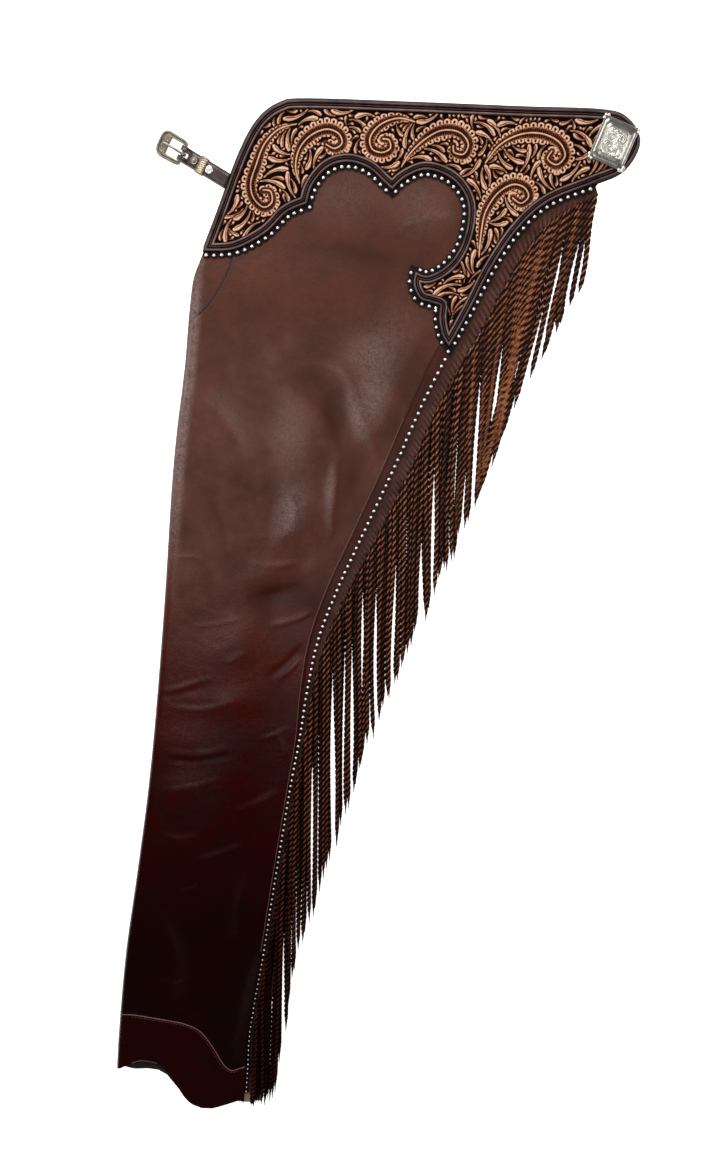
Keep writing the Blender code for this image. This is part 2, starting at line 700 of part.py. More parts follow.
def build_yoke(underlay, tooled, border):
    grid = plan_grid(-120.0, 315.0, 260.0, 510.0, YOKE_STEP)
    plate("yoke_underlay", pinked_loop(), yoke_point, 0.0, UNDERLAY, underlay,
          grid=grid, clearance=4.0)
    edge = edge_loop(YOKE_EDGE, 9.0)
    field = moved_out(edge, -BORDER_WIDTH - GAP)
    plate("yoke_panel", field, yoke_point, YOKE_REST, YOKE_REST + TOOLED_LEATHER, tooled,
          grid=grid, clearance=4.0)
    ribs = [(moved_out(edge, -inset), height, True) for inset, height in BORDER_RIBS]
    inner = moved_out(edge, -BORDER_WIDTH)
    build_border(edge, inner, ribs, border)


def build_border(edge, inner, ribs, material):
    """The ring round the tooled field, with its two ridges."""
    def place(x, y, height):
        if height > YOKE_REST and distance_to(inner, x, y) < 1e-6:
            height = BORDER_INSIDE
        return yoke_point(x, y, height)
    plate("yoke_border", edge, place, YOKE_REST, BORDER_EDGE, material, holes=[inner],
          ribs=ribs, sharp_above=60.0)


# ============================ the fringe ============================

def strand_rest(y):
    """Height of the lowest strands: on the floor beside the yoke, over the zip below."""
    zip_top = TAPE_REST + ZIP_TAPE + GAP
    return GAP + (zip_top - GAP) * rise(y)


def fringe_roots(part, line):
    """Distances along a header's line at which strands leave it."""
    total = sum(math.dist(a, b) for a, b in zip(line, line[1:]))
    roots, walked = [], STRAND_PITCH / 2
    while walked < total - STRAND_PITCH / 2:
        (x, y), (tx, ty) = along_line(line, walked)
        if y < LAST_ROOT:
            break
        roots.append(walked)
        lean = math.tan(math.radians(through_rows(FRINGE_ROWS, "lean", y)))
        lower = math.tan(math.radians(through_rows(FRINGE_ROWS, "lean", y - 60)))
        closing = (lean - lower) / 60 * through_rows(FRINGE_ROWS, "length", y)
        spread = -tx - (-ty) * lean - closing
        walked += max(STRAND_PITCH, LAYER_SPACING / part.layers / max(spread, 0.05))
    return roots


def along_line(line, distance):
    """The point and the direction at a distance along a line."""
    for a, b in zip(line, line[1:]):
        length = math.dist(a, b)
        if distance <= length or b == line[-1]:
            t = distance / length
            direction = ((b[0] - a[0]) / length, (b[1] - a[1]) / length)
            return (a[0] + (b[0] - a[0]) * t, a[1] + (b[1] - a[1]) * t), direction
        distance -= length


def strand_rings(root, outward, layer, number):
    """Rings of four points down one strand, after its root."""
    y = root[1]
    lean = math.radians(through_rows(FRINGE_ROWS, "lean", y))
    hang = (-math.sin(lean), -math.cos(lean))
    length = through_rows(FRINGE_ROWS, "length", y) * (1.0 - 0.012 * (number * 7 % 5))
    length = min(length, (y - FRINGE_FLOOR - 4.0 * (number % 3)) / math.cos(lean))
    turned = (outward[0] + hang[0], outward[1] + hang[1])
    size = math.hypot(*turned)
    turned = (turned[0] / size, turned[1] / size)
    centres = [(root[0] + outward[0] * STUB, root[1] + outward[1] * STUB)]
    centres.append((centres[0][0] + turned[0] * 3.2, centres[0][1] + turned[1] * 3.2))
    start = (centres[1][0] + hang[0] * 5.0, centres[1][1] + hang[1] * 5.0)
    directions = [outward, turned]
    remaining = length - STUB - 8.2
    for i in range(4):
        reach = remaining * i / 3
        centres.append((start[0] + hang[0] * reach, start[1] + hang[1] * reach))
        directions.append(hang)
    rings = []
    for i, ((px, py), (dx, dy)) in enumerate(zip(centres, directions)):
        narrow = max(i - 2, 0) / 3
        half = (STRAND_WIDTH + (STRAND_TIP - STRAND_WIDTH) * narrow) / 2
        middle = strand_rest(py) + STRAND_THICKNESS / 2 + layer * LAYER_STEP
        side = (dy * half, -dx * half)
        rings.append([(px - side[0], py - side[1], middle + STRAND_THICKNESS / 2),
                      (px + side[0], py + side[1], middle + STRAND_THICKNESS / 2),
                      (px + side[0], py + side[1], middle - STRAND_THICKNESS / 2),
                      (px - side[0], py - side[1], middle - STRAND_THICKNESS / 2)])
    return rings


def build_fringe_part(part, first_number, leather):
    """A header strip with its strands in one closed mesh. Returns the next number."""
    line = resampled(side_stretch(part.top - GAP / 2, part.bottom + GAP / 2), 4.0)
    roots = fringe_roots(part, line)
    total = sum(math.dist(a, b) for a, b in zip(line, line[1:]))
    marks = [0.0]
    for distance in roots:
        marks += [distance - ROOT_WIDTH / 2, distance + ROOT_WIDTH / 2]
    marks.append(total)
    vertices, faces, stations = [], [], []
    for mark in marks:
        (x, y), (tx, ty) = along_line(line, mark)
        width = through_rows(SIDE_ROWS, "header", y)
        station = []
        for reach in (-HEADER_INSET, width):
            px, py = x - ty * reach, y + tx * reach
            middle = sheet_height(px, py)
            for lift in (HEADER / 2, -HEADER / 2):
                station.append(len(vertices))
                vertices.append((px, py, middle + lift))
        stations.append(station)
    for k, (a, b) in enumerate(zip(stations, stations[1:])):
        faces.append((a[0], b[0], b[2], a[2]))           # upper face
        faces.append((a[1], a[3], b[3], b[1]))           # lower face
        faces.append((a[0], a[1], b[1], b[0]))           # inner edge
        if k % 2 == 0:
            faces.append((a[2], b[2], b[3], a[3]))       # outer edge between two roots
    a, b = stations[0], stations[-1]
    faces.append((a[0], a[2], a[3], a[1]))
    faces.append((b[0], b[1], b[3], b[2]))
    for i, distance in enumerate(roots):
        a, b = stations[2 * i + 1], stations[2 * i + 2]
        (x, y), (tx, ty) = along_line(line, distance)
        width = through_rows(SIDE_ROWS, "header", y)
        root = (x - ty * width, y + tx * width)
        ring = [a[2], b[2], b[3], a[3]]
        number = first_number + i
        for points in strand_rings(root, (-ty, tx), number % part.layers, number):
            new = [len(vertices) + j for j in range(4)]
            vertices += [points[0], points[1], points[2], points[3]]
            for j in range(4):
                faces.append((ring[j], ring[(j + 1) % 4], new[(j + 1) % 4], new[j]))
            ring = new
        faces.append(tuple(ring))
    add_solid(part.name, vertices, faces, leather, 50.0)
    return first_number + len(roots)


def build_fringe(leather):
    number = 0
    for part in FRINGE_PARTS:
        number = build_fringe_part(part, number, leather)


# ============================ strap and buckle ============================

AWAY = Vector((math.cos(math.radians(STRAP_ANGLE)), math.sin(math.radians(STRAP_ANGLE)), 0.0))
ACROSS = Vector((0.0, 0.0, 1.0)).cross(AWAY) * -1.0


def strap_point(back, across, height):
    """A point of the strap: back is the distance from the bar towards the yoke."""
    point = BAR - AWAY * back + ACROSS * across
    return (point.x, point.y, height)


def strap_path():
    """The middle of the strap's leather, from under the yoke round the bar and back."""
    low = STRAP_LEATHER / 2 + 0.1
    lower = [(53.0, low), (38.0, low), (33.0, 1.35), (28.0, LOWER_LAYER), (16.0, LOWER_LAYER),
             (4.0, LOWER_LAYER)]
    turn = [(-LOOP_RADIUS * math.sin(math.pi * i / 8), BAR.z - LOOP_RADIUS * math.cos(math.pi * i / 8))
            for i in range(9)]
    upper = [(2.8, 6.2), (5.0, 4.4), (6.8, UPPER_LAYER), (20.0, UPPER_LAYER),
             (28.0, UPPER_LAYER), (33.0, 3.15), (39.6, 2.75)]
    return lower + turn + upper


def build_strap(leather):
    path = strap_path()
    lines = [-STRAP_WIDTH / 2, -SLOT_WIDTH / 2, SLOT_WIDTH / 2, STRAP_WIDTH / 2]
    outer = moved_out(path, -STRAP_LEATHER / 2, closed=False)
    inner = moved_out(path, STRAP_LEATHER / 2, closed=False)
    slot = range(5, 16)                  # path pieces that the tongue's slot goes through
    vertices, faces = [], []
    for side in (outer, inner):
        for back, height in side:
            vertices += [strap_point(back, across, height) for across in lines]
    base = 4 * len(path)
    for k in range(len(path) - 1):
        for c in (0, 2) if k in slot else (0, 1, 2):
            a, b = 4 * k + c, 4 * (k + 1) + c
            faces.append((a, b, b + 1, a + 1))
            faces.append((base + a, base + a + 1, base + b + 1, base + b))
        add_wall(faces, 4 * k, 4 * (k + 1), base, True)
        add_wall(faces, 4 * k + 3, 4 * (k + 1) + 3, base, False)
        if k in slot:
            add_wall(faces, 4 * k + 1, 4 * (k + 1) + 1, base, False)
            add_wall(faces, 4 * k + 2, 4 * (k + 1) + 2, base, True)
    add_end(faces, 4 * slot[0] + 1, base, True)
    add_end(faces, 4 * (slot[-1] + 1) + 1, base, False)
    for c in range(3):
        add_end(faces, c, base, False)
        add_end(faces, 4 * (len(path) - 1) + c, base, True)
    add_solid("buckle_strap", vertices, faces, leather)


def add_wall(faces, a, b, base, turned):
    face = (a, b, base + b, base + a)
    faces.append(face[::-1] if turned else face)


def add_end(faces, a, base, turned):
    face = (a, a + 1, base + a + 1, base + a)
    faces.append(face[::-1] if turned else face)


def build_keeper(metal):
    half = STRAP_WIDTH / 2 + GAP
    low, high = 0.1 + KEEPER_WALL, UPPER_LAYER + STRAP_LEATHER / 2 + GAP
    outline = rounded_box(0.0, (low + high) / 2, half + KEEPER_WALL, (high - low) / 2 + KEEPER_WALL,
                          1.2, 3)
    hole = rounded_box(0.0, (low + high) / 2, half, (high - low) / 2, 0.5, 2)
    middle = (KEEPER[0] + KEEPER[1]) / 2

    def place(across, height, lift):
        return strap_point(middle + lift, across, height)
    width = KEEPER[1] - KEEPER[0]
    plate("strap_keeper", outline, place, -width / 2, width / 2, metal, holes=[hole])


def rounded_box(x, y, half_x, half_y, radius, steps):
    """A counterclockwise rectangle with round corners."""
    points = []
    for corner, (sx, sy) in enumerate(((1, -1), (1, 1), (-1, 1), (-1, -1))):
        cx, cy = x + sx * (half_x - radius), y + sy * (half_y - radius)
        for i in range(steps + 1):
            angle = math.pi / 2 * (corner - 1 + i / steps)
            points.append((cx + radius * math.cos(angle), cy + radius * math.sin(angle)))
    return points


def circle(x, y, radius, count):
    return [(x + radius * math.cos(2 * math.pi * i / count),
             y + radius * math.sin(2 * math.pi * i / count)) for i in range(count)]


def build_screws(metal):
    rest = UPPER_LAYER + STRAP_LEATHER / 2 + GAP
    for number, (back, diameter) in enumerate(SCREWS, start=1):
        x, y, _ = strap_point(back, 0.0, 0.0)
        plate(f"strap_screw_{number}", circle(x, y, diameter / 2, 20), flat_point, rest,
              rest + SCREW_HEIGHT * 0.6, metal,
              ribs=[(circle(x, y, diameter * 0.38, 20), rest + SCREW_HEIGHT, True)])


def frame_outline():
    """The buckle frame's edge: straight along the bar, round and softly lobed beyond."""
    points = []
    for x, y in rounded_box(FRAME_LENGTH / 2 - 0.45, 0.0, FRAME_LENGTH / 2 + 0.45, FRAME_WIDTH / 2,
                            6.5, 7):
        if x < FRAME_LENGTH * 0.4:
            continue
        points.append((x, y))
    lobed = []
    for i, (x, y) in enumerate(points):
        reach = 1.0 + 0.03 * (i % 2)
        lobed.append((10.0 + (x - 10.0) * reach, y * reach))
    near = [(3.0, FRAME_WIDTH / 2 - 0.3), (0.2, FRAME_WIDTH / 2 - 1.1), (-BAR_HALF, 8.6)]
    return lobed + near + [(x, -y) for x, y in near[::-1]]


def on_bar(solid, parent):
    """Turn a piece that was modelled along +X about the bar onto the strap's line."""
    solid.parent = parent
    solid.rotation_euler = (0.0, math.radians(BUCKLE_TILT), 0.0)


def build_buckle(metal, steel):
    bar = bpy.data.objects.new("buckle_bar_axis", None)
    bpy.context.scene.collection.objects.link(bar)
    bar.location = BAR * MM
    bar.rotation_euler = (0.0, 0.0, math.radians(STRAP_ANGLE))
    near, far, half = WINDOW
    window = rounded_box((near + far) / 2, 0.0, (far - near) / 2, half, 1.0, 2)
    window = [(BAR_HALF, y) if x < near + 0.5 else (x, y) for x, y in window]
    window = [p for i, p in enumerate(window) if p not in window[:i]]
    rim = [(2.5, -8.6), (13.0, -8.7), (18.3, -5.5), (19.0, 0.0), (18.3, 5.5), (13.0, 8.7),
           (2.5, 8.6)]
    frame = plate("buckle_frame", frame_outline(), flat_point, -FRAME_THICKNESS / 2,
                  BAR_HALF, metal, holes=[window], ribs=[(rim, FRAME_THICKNESS / 2 + 0.2, False)])
    on_bar(frame, bar)
    hole_radius, radius = TONGUE_RADIUS
    start = math.asin(1.5 / radius)
    ring = [(radius * math.cos(angle), radius * math.sin(angle))
            for angle in (math.pi / 2 + (math.pi * 1.5 + start) * i / 14 for i in range(15))]
    shank = [(TONGUE_REACH - 1.0, 1.5), (TONGUE_REACH, 1.9), (TONGUE_REACH - 1.3, radius)]
    tongue = plate("buckle_tongue", ring + shank, lambda x, z, across: (x, -across, z),
                   -TONGUE_WIDTH / 2, TONGUE_WIDTH / 2, steel,
                   holes=[circle(0.0, 0.0, hole_radius, 16)])
    on_bar(tongue, bar)


# ============================ concho ============================

def concho_outline():
    """A plate with slightly bowed sides and three round lobes at each corner."""
    half_x, half_y = CONCHO_SIZE[0] / 2, CONCHO_SIZE[1] / 2
    points = []
    for corner, (sx, sy) in enumerate(((1, -1), (1, 1), (-1, 1), (-1, -1))):
        turn = math.pi / 2 * (corner - 1) + math.pi / 4
        cx, cy = sx * (half_x - 1.2), sy * (half_y - 1.2)
        for lobe in (-1, 0, 1):
            out = turn + lobe * math.radians(62)
            lx = cx + 2.3 * math.cos(out)
            ly = cy + 2.3 * math.sin(out)
            for i in range(5):
                angle = out + math.radians(-80 + 40 * i)
                points.append((lx + BEAD / 2 * math.cos(angle), ly + BEAD / 2 * math.sin(angle)))
    return points


def build_concho(metal):
    rest = yoke_point(*CONCHO_CENTRE, BORDER_RIBS[2][1])[2] + GAP
    turn = math.radians(CONCHO_TURN)

    def place(x, y, height):
        return (CONCHO_CENTRE[0] + x * math.cos(turn) - y * math.sin(turn),
                CONCHO_CENTRE[1] + x * math.sin(turn) + y * math.cos(turn), rest + height)
    half_x, half_y = CONCHO_SIZE[0] / 2, CONCHO_SIZE[1] / 2
    step = rounded_box(0.0, 0.0, half_x - 2.6, half_y - 2.6, 2.0, 2)
    centre = rounded_box(0.0, 0.0, half_x - 5.0, half_y - 5.0, 2.5, 2)
    plate("concho", concho_outline(), place, 0.0, CONCHO_THICKNESS * 0.6, metal,
          ribs=[(step, CONCHO_THICKNESS, True), (centre, CONCHO_THICKNESS + 0.5, True)])


def main():
    for old in list(bpy.data.objects):
        bpy.data.objects.remove(old, do_unlink=True)
    brown = make_material("leg_leather", (0.065, 0.028, 0.02), 0.5)
    hem_brown = make_material("hem_leather", (0.08, 0.025, 0.016), 0.5)
    dark = make_material("underlay_leather", (0.012, 0.009, 0.008), 0.6)
    tooled = make_material("tooled_leather", (0.48, 0.24, 0.12), 0.5)
    border = make_material("border_leather", (0.045, 0.018, 0.013), 0.35)
    fringe = make_material("fringe_leather", (0.13, 0.032, 0.012), 0.45)
    tape = make_material("zip_tape", (0.33, 0.24, 0.16), 0.85)
    silver = make_material("silver", (0.72, 0.7, 0.66), 0.25, 1.0)
    steel = make_material("steel", (0.5, 0.49, 0.47), 0.3, 1.0)
    black = make_material("black_metal", (0.02, 0.018, 0.016), 0.4, 1.0)
    build_front(brown)
    build_inner_thigh(brown)
    build_hem_band(hem_brown)
    build_back(brown)
    build_zip(tape, black)
    build_side_strip(brown)
    build_yoke(dark, tooled, border)
    build_fringe(fringe)
    build_strap(border)
    build_keeper(silver)
    build_screws(silver)
    build_buckle(silver, steel)
    build_concho(silver)


main()
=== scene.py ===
"""The looks of one leg of a pair of leather chaps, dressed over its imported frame.

The leg lies flat with its front up: +X runs across to the outer side, +Y up the leg and
+Z up. Lengths are in millimetres until a mesh is made. The leg's pieces are cut in plan,
as (v, y) outlines: y is the height up the leg and v the distance from the crown of the
fold at the inner leg. Past the crown v is negative and counts on round the fold.
"""
import math
from collections import namedtuple

import bpy
import numpy as np
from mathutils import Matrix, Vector
from mathutils.geometry import delaunay_2d_cdt

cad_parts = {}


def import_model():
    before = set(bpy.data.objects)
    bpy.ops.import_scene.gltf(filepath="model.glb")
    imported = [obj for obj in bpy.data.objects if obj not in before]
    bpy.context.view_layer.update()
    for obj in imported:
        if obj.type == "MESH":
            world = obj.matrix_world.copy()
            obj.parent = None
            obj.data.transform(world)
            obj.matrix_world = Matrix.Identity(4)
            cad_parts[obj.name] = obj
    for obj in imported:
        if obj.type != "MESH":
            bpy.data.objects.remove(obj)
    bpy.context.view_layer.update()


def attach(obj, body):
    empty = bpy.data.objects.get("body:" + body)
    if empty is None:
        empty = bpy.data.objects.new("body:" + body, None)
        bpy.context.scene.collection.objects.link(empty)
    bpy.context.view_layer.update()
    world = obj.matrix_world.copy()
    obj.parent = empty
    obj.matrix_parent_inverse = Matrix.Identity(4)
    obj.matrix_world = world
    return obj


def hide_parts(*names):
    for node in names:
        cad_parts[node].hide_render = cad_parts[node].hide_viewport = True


MM = 0.001
GAP = 0.3
SEED = 11
ROW_STEP = 0.87           # rows of a staggered grid, as a share of its spacing

# ---- thickness of each material ----
LEG_LEATHER = 1.6
HALF = LEG_LEATHER / 2
UNDERLAY = 1.2
HEADER = 1.2
STRIP = 1.2
ZIP_TAPE = 0.8
STRAP_LEATHER = 1.5

# ---- how the leg lies ----
FOLD_RADIUS = 6.0
LIP = 12.0
SIDE_HEIGHT = 3.8
SIDE_FLAT = 14.0
SWELL = 2.0
FLAT_ABOVE = 430.0
FULL_BELOW = 330.0

FoldRow = namedtuple("FoldRow", "y x")
FOLD_ROWS = [FoldRow(*row) for row in (
    (520, -72.0), (440, -94.0), (396, -111.4), (376, -120.0), (354, -124.0),
    (300, -131.7), (250, -141.0), (200, -148.6), (100, -161.0), (0, -174.6),
    (-100, -190.0), (-200, -208.6), (-300, -228.0), (-400, -243.0), (-460, -250.5))]

SideRow = namedtuple("SideRow", "x y strip header")
SIDE_ROWS = [SideRow(*row) for row in (
    (214.0, 448.5, 0.0, 9.0), (177.0, 433.6, 0.0, 13.0), (149.0, 408.4, 0.0, 16.0),
    (129.2, 377.6, 0.0, 16.5), (112.9, 344.7, 0.0, 16.0), (97.3, 315.8, 10.5, 15.0),
    (76.1, 273.5, 10.0, 14.0), (49.6, 212.3, 9.6, 14.5), (22.3, 152.8, 9.2, 13.0),
    (-1.5, 100.0, 9.4, 10.5), (-19.6, 50.0, 8.5, 7.5), (-30.3, 0.0, 6.8, 5.5),
    (-38.5, -50.0, 4.0, 5.0), (-48.1, -100.0, 3.0, 5.0), (-65.3, -200.0, 3.0, 5.0),
    (-81.8, -300.0, 3.0, 5.0), (-99.5, -400.0, 3.0, 5.0), (-104.0, -450.0, 3.0, 5.0),
    (-108.8, -506.0, 3.0, 5.0))]
STRIP_START = SIDE_ROWS[5].y
STRIP_END = -488.0
SEAM_INSET = 2.3
HEADER_INSET = 1.7
STRIP_OVERHANG = 1.7

SoftFold = namedtuple("SoftFold", "x y length width height angle")
SOFT_FOLDS = [SoftFold(*row) for row in (
    (22, 262, 75, 24, 1.3, 78), (-38, 300, 42, 22, -1.1, 30), (-45, 104, 55, 17, -1.3, 22),
    (-92, 60, 60, 20, 0.9, 70), (-100, -10, 55, 13, 1.1, 4), (-120, -170, 110, 26, 1.2, 79),
    (-165, -300, 80, 22, -0.9, 80))]

# ---- creases in the leg: height, half width and the line they follow ----
Crease = namedtuple("Crease", "height width line")
FRONT_CREASES = [Crease(*row) for row in (
    (0.8, 2.4, [(-172, 3), (-150, 8), (-120, 18)]),
    (-0.7, 4.0, [(-172, -4), (-146, 0), (-118, 9)]),
    (0.7, 2.2, [(-168, -11), (-134, -15), (-100, -8)]),
    (0.6, 2.4, [(-108, 30), (-98, 36), (-86, 42)]),
    (-0.9, 3.6, [(-172, -68), (-140, -71), (-102, -65)]),
    (0.6, 2.6, [(-170, -61), (-138, -64), (-108, -58)]),
    (0.7, 2.4, [(-178, -101), (-150, -99), (-118, -90)]),
    (0.6, 2.4, [(-146, -182), (-122, -176), (-98, -168)]),
    (0.5, 2.0, [(-166, -218), (-155, -216), (-145, -212)]),
    (0.6, 2.8, [(-104, -128), (-80, -119), (-56, -106)]),
    (-1.4, 10.0, [(-84, 94), (-56, 98), (-30, 104)]),
    (1.1, 2.6, [(-64, 67), (-42, 72), (-20, 82)]),
    (-1.1, 4.0, [(-68, 15), (-50, 29), (-30, 50)]),
    (0.8, 2.4, [(-60, 10), (-46, 22), (-32, 38)]),
    (0.6, 2.2, [(-80, -52), (-64, -46), (-48, -37)]),
    (0.5, 2.2, [(-66, -34), (-58, -50), (-54, -68)]),
    (1.3, 7.0, [(-40, 306), (3, 301), (20, 258), (38, 218)]),
    (-1.1, 9.0, [(-36, 285), (-14, 276), (2, 246), (10, 214)]),
    (1.0, 5.0, [(-2, 226), (-4, 190), (-7, 150)]),
    (0.5, 3.0, [(50, 414), (78, 424), (108, 424)]),
    (-0.8, 12.0, [(-34, 401), (12, 396), (58, 382)]),
    (0.6, 2.0, [(-156, 133), (-140, 136), (-124, 134)]),
    (0.5, 2.0, [(-137, 69), (-112, 72), (-88, 77)]),
    (0.6, 3.0, [(-88, 132), (-60, 126), (-32, 129)]),
    (0.8, 6.0, [(-49, 212), (-39, 168), (-64, 143)]),
    (1.0, 7.0, [(-72, -268), (-96, -335), (-112, -404), (-118, -448)]),
    (-0.7, 8.0, [(-92, -262), (-116, -335), (-132, -404)]),
    (0.7, 9.0, [(-150, 300), (-96, 262), (-70, 200)]),
    (-0.6, 8.0, [(-140, 220), (-110, 170), (-104, 110)]),
    (0.6, 6.0, [(-186, -240), (-170, -300), (-178, -360)]),
    (0.5, 5.0, [(-96, -200), (-110, -250), (-108, -300)]),
    (0.5, 2.6, [(-196, -330), (-176, -334), (-158, -328)]),
    (0.5, 2.6, [(-182, -150), (-160, -156), (-140, -150)]))]
BACK_CREASES = [Crease(*row) for row in (
    (0.5, 4.0, [(-150, 20), (-90, 12), (-20, 30)]),
    (0.4, 3.0, [(-170, -60), (-120, -68), (-60, -52)]),
    (0.5, 5.0, [(-130, 190), (-60, 170), (30, 200)]),
    (0.4, 3.0, [(-180, -170), (-130, -160), (-80, -175)]),
    (0.45, 6.0, [(-60, 280), (-40, 180), (-60, 90)]),
    (0.4, 5.0, [(-190, -280), (-150, -330), (-150, -420)]))]

# ---- patches painted on the leg's colour: above 0 a painted sheen, below 0 a painted shade ----
Cloud = namedtuple("Cloud", "x y length width angle amount")
LEG_PAINTED_PATCHES = [Cloud(*row) for row in (
    (6, 440, 34, 20, 10, 0.35), (72, 436, 24, 20, 0, 0.45), (25, 395, 64, 10, -7, -0.55),
    (-30, 372, 40, 12, 20, -0.25), (50, 335, 34, 26, 60, 0.25), (26, 316, 26, 14, 20, 0.5),
    (31, 278, 34, 15, 80, 0.9), (-20, 296, 20, 12, -12, -0.6), (-6, 254, 40, 11, 82, -0.5),
    (57, 272, 50, 8, 66, -0.45), (-43, 245, 36, 18, 84, 0.5), (-46, 176, 25, 14, 60, 0.9),
    (-6, 190, 32, 5, 86, 0.5), (-27, 125, 13, 8, 60, 0.35), (-72, 122, 26, 14, 20, 0.35),
    (-50, 99, 28, 13, -8, -0.6), (-128, 130, 34, 16, 84, 0.2), (-120, 300, 60, 14, 80, -0.2),
    (-95, 215, 46, 22, 50, -0.25), (-110, 60, 50, 20, 10, 0.2), (-150, -40, 26, 14, 0, 0.3),
    (-30, 60, 30, 16, 30, 0.25), (-150, -88, 22, 9, 10, 0.35), (-72, -30, 50, 14, 74, -0.3),
    (-110, 393, 18, 9, 62, -1.0), (-68, 175, 26, 60, 0, -0.32), (-2, 80, 26, 60, -20, -0.5),
    (-110, 110, 30, 70, 0, -0.18), (12, 205, 9, 44, -24, -0.7),
    (-34, 98, 16, 20, 60, -0.6))]
FOLD_PAINTED_HIGHLIGHT = (0.3, 4.6, 1.45)    # middle and half width of the painted highlight along the fold, amount
FOLD_HIGHLIGHT_ENDS = (60.0, 230.0)  # between these heights it fades in
CREASE_PAINTED_LIGHT = 0.55              # painted light on the creases: how much lighter a ridge one millimetre high is, and a hollow darker

# ---- seams and edges of the leg's pieces ----
THIGH_SEAM = [(-86.0, 402.0), (-87.4, 392.0), (-90.0, 383.0), (-96.2, 371.7),
              (-105.4, 358.0), (-116.2, 346.5)]
THIGH_SEAM_FOLD = 337.5
THIGH_SEAM_LIP = 322.0
CROTCH_FOLD = 358.0
CROTCH_LIP = 346.0
HEM_SEAM = [(-226.0, -374.5), (-208.0, -378.0), (-187.0, -383.3), (-169.0, -389.5),
            (-153.1, -402.0), (-140.0, -427.4), (-133.3, -444.0), (-127.3, -453.8),
            (-121.5, -457.5), (-114.5, -454.5)]
HEM_SEAM_FOLD = -377.0
HEM_SEAM_LIP = -379.0
FRONT_HEM = [(-232.6, -440.5), (-221.0, -437.5), (-209.2, -439.2), (-199.5, -444.0),
             (-191.5, -454.8), (-183.6, -471.5), (-176.4, -489.0), (-168.0, -500.8),
             (-158.0, -507.5), (-146.5, -509.6), (-129.6, -505.0), (-114.4, -499.0)]
FRONT_HEM_FOLD = -451.5
FRONT_HEM_LIP = -458.0
BACK_HEM = [(-216.0, -457.5), (-205.0, -459.5), (-196.0, -466.0), (-187.0, -481.0),
            (-178.0, -496.0), (-168.0, -503.5), (-152.0, -506.5), (-136.0, -503.5),
            (-116.0, -497.5), (-92.0, -496.0)]
BACK_TOP = [(104.0, 303.0), (60.0, 306.0), (0.0, 315.0), (-60.0, 330.0)]
BACK_EDGE = 18.0

# ---- the yoke's edge: corners are sharp, the other points lie on round stretches ----
EdgePoint = namedtuple("EdgePoint", "x y corner")
YOKE_EDGE = [EdgePoint(*row) for row in (
    (-111.0, 396.5, True), (-84.0, 398.0, False), (-58.0, 410.5, False),
    (-40.0, 426.3, False), (-23.0, 433.3, True), (-18.2, 446.8, False),
    (-6.0, 460.0, False), (10.0, 464.5, False), (27.0, 460.0, False),
    (40.0, 449.5, False), (46.9, 443.6, True), (58.0, 453.0, False),
    (75.0, 458.6, False), (95.0, 452.0, False), (107.6, 437.0, False),
    (109.0, 419.0, False), (103.0, 399.0, False), (92.0, 385.5, False),
    (77.3, 378.3, False), (66.5, 381.7, True), (65.0, 370.5, False),
    (70.5, 359.3, False), (80.0, 355.8, False), (88.0, 353.6, True),
    (87.3, 343.0, False), (90.3, 329.5, False), (97.0, 319.2, True),
    (114.0, 350.3, False), (131.0, 383.3, False), (152.0, 414.0, False),
    (176.0, 434.7, False), (212.0, 448.7, False), (236.0, 459.2, False),
    (247.0, 480.0, False), (236.0, 497.0, False), (214.8, 503.2, False),
    (150.0, 505.3, False), (60.0, 508.6, False), (-22.6, 511.0, False),
    (-44.0, 508.3, False), (-62.0, 496.1, False), (-77.2, 472.5, False),
    (-95.0, 433.0, False))]
PINKED_FROM = (-111.0, 396.5)
PINKED_TO = (212.0, 448.7)
PINK_PITCH = 6.35
PINK_VALLEY = 3.2
PINK_PEAK = 4.9
UNDERLAY_PEEK = 1.1
BORDER_WIDTH = 7.0
YOKE_REST = UNDERLAY + GAP
FRONT_UNDER_YOKE = [(200.0, 446.0), (221.0, 455.0), (231.0, 479.0), (216.0, 491.0),
                    (150.0, 493.5), (60.0, 496.5), (-20.0, 499.0), (-40.0, 495.0),
                    (-52.0, 485.0), (-64.0, 464.0), (-77.0, 436.0), (-85.0, 412.0)]

# ---- zip, as distances outwards from the side line ----
ZIP_TOP = 299.0
TAPE_FRONT = (-9.0, 5.0)
TAPE_FRONT_END = -503.5
TAPE_BACK = (7.4, 17.4)
TAPE_BACK_END = -500.5
TAPE_REST = LEG_LEATHER + GAP

# ---- fringe ----
FringeRow = namedtuple("FringeRow", "y lean")
FRINGE_ROWS = [FringeRow(*row) for row in (
    (448, 8.0), (441, 10.0), (435, 14.0), (427, 12.5), (417, 8.5), (405, 6.5), (368, 4.0),
    (335, 2.5),
    (290, 1.0), (205, 1.0), (140, 1.0), (60, 0.8), (0, 1.8), (-100, 2.6), (-170, 3.3),
    (-260, 3.9), (-360, 3.4), (-480, 2.0))]
FRINGE_TIPS = [(-88, -508), (-75, -502), (-64, -420), (-56, -352), (-45, -292), (-24, -238),
               (-6, -186), (14, -112), (38, -28), (62, 28), (87, 98), (109, 140), (129, 198),
               (149, 248), (166, 286), (186, 326), (200, 352), (210, 368)]
FRINGE_FLOOR = -508.0
FringePart = namedtuple("FringePart", "name top bottom pitch layers")
FRINGE_PARTS = [FringePart(*row) for row in (
    ("fringe_upper", 448.5, 322.0, 3.3, 2), ("fringe_middle", 322.0, 18.0, 3.0, 3),
    ("fringe_lower", 18.0, STRIP_END, 2.2, 5))]
LAST_ROOT = -462.0
STRAND_WIDTH = 5.3
STRAND_THICKNESS = 2.5
STRAND_LAY = 19.0  # length in which a strand's plies turn once
STRAND_RING = 1.8
PLIES = 3

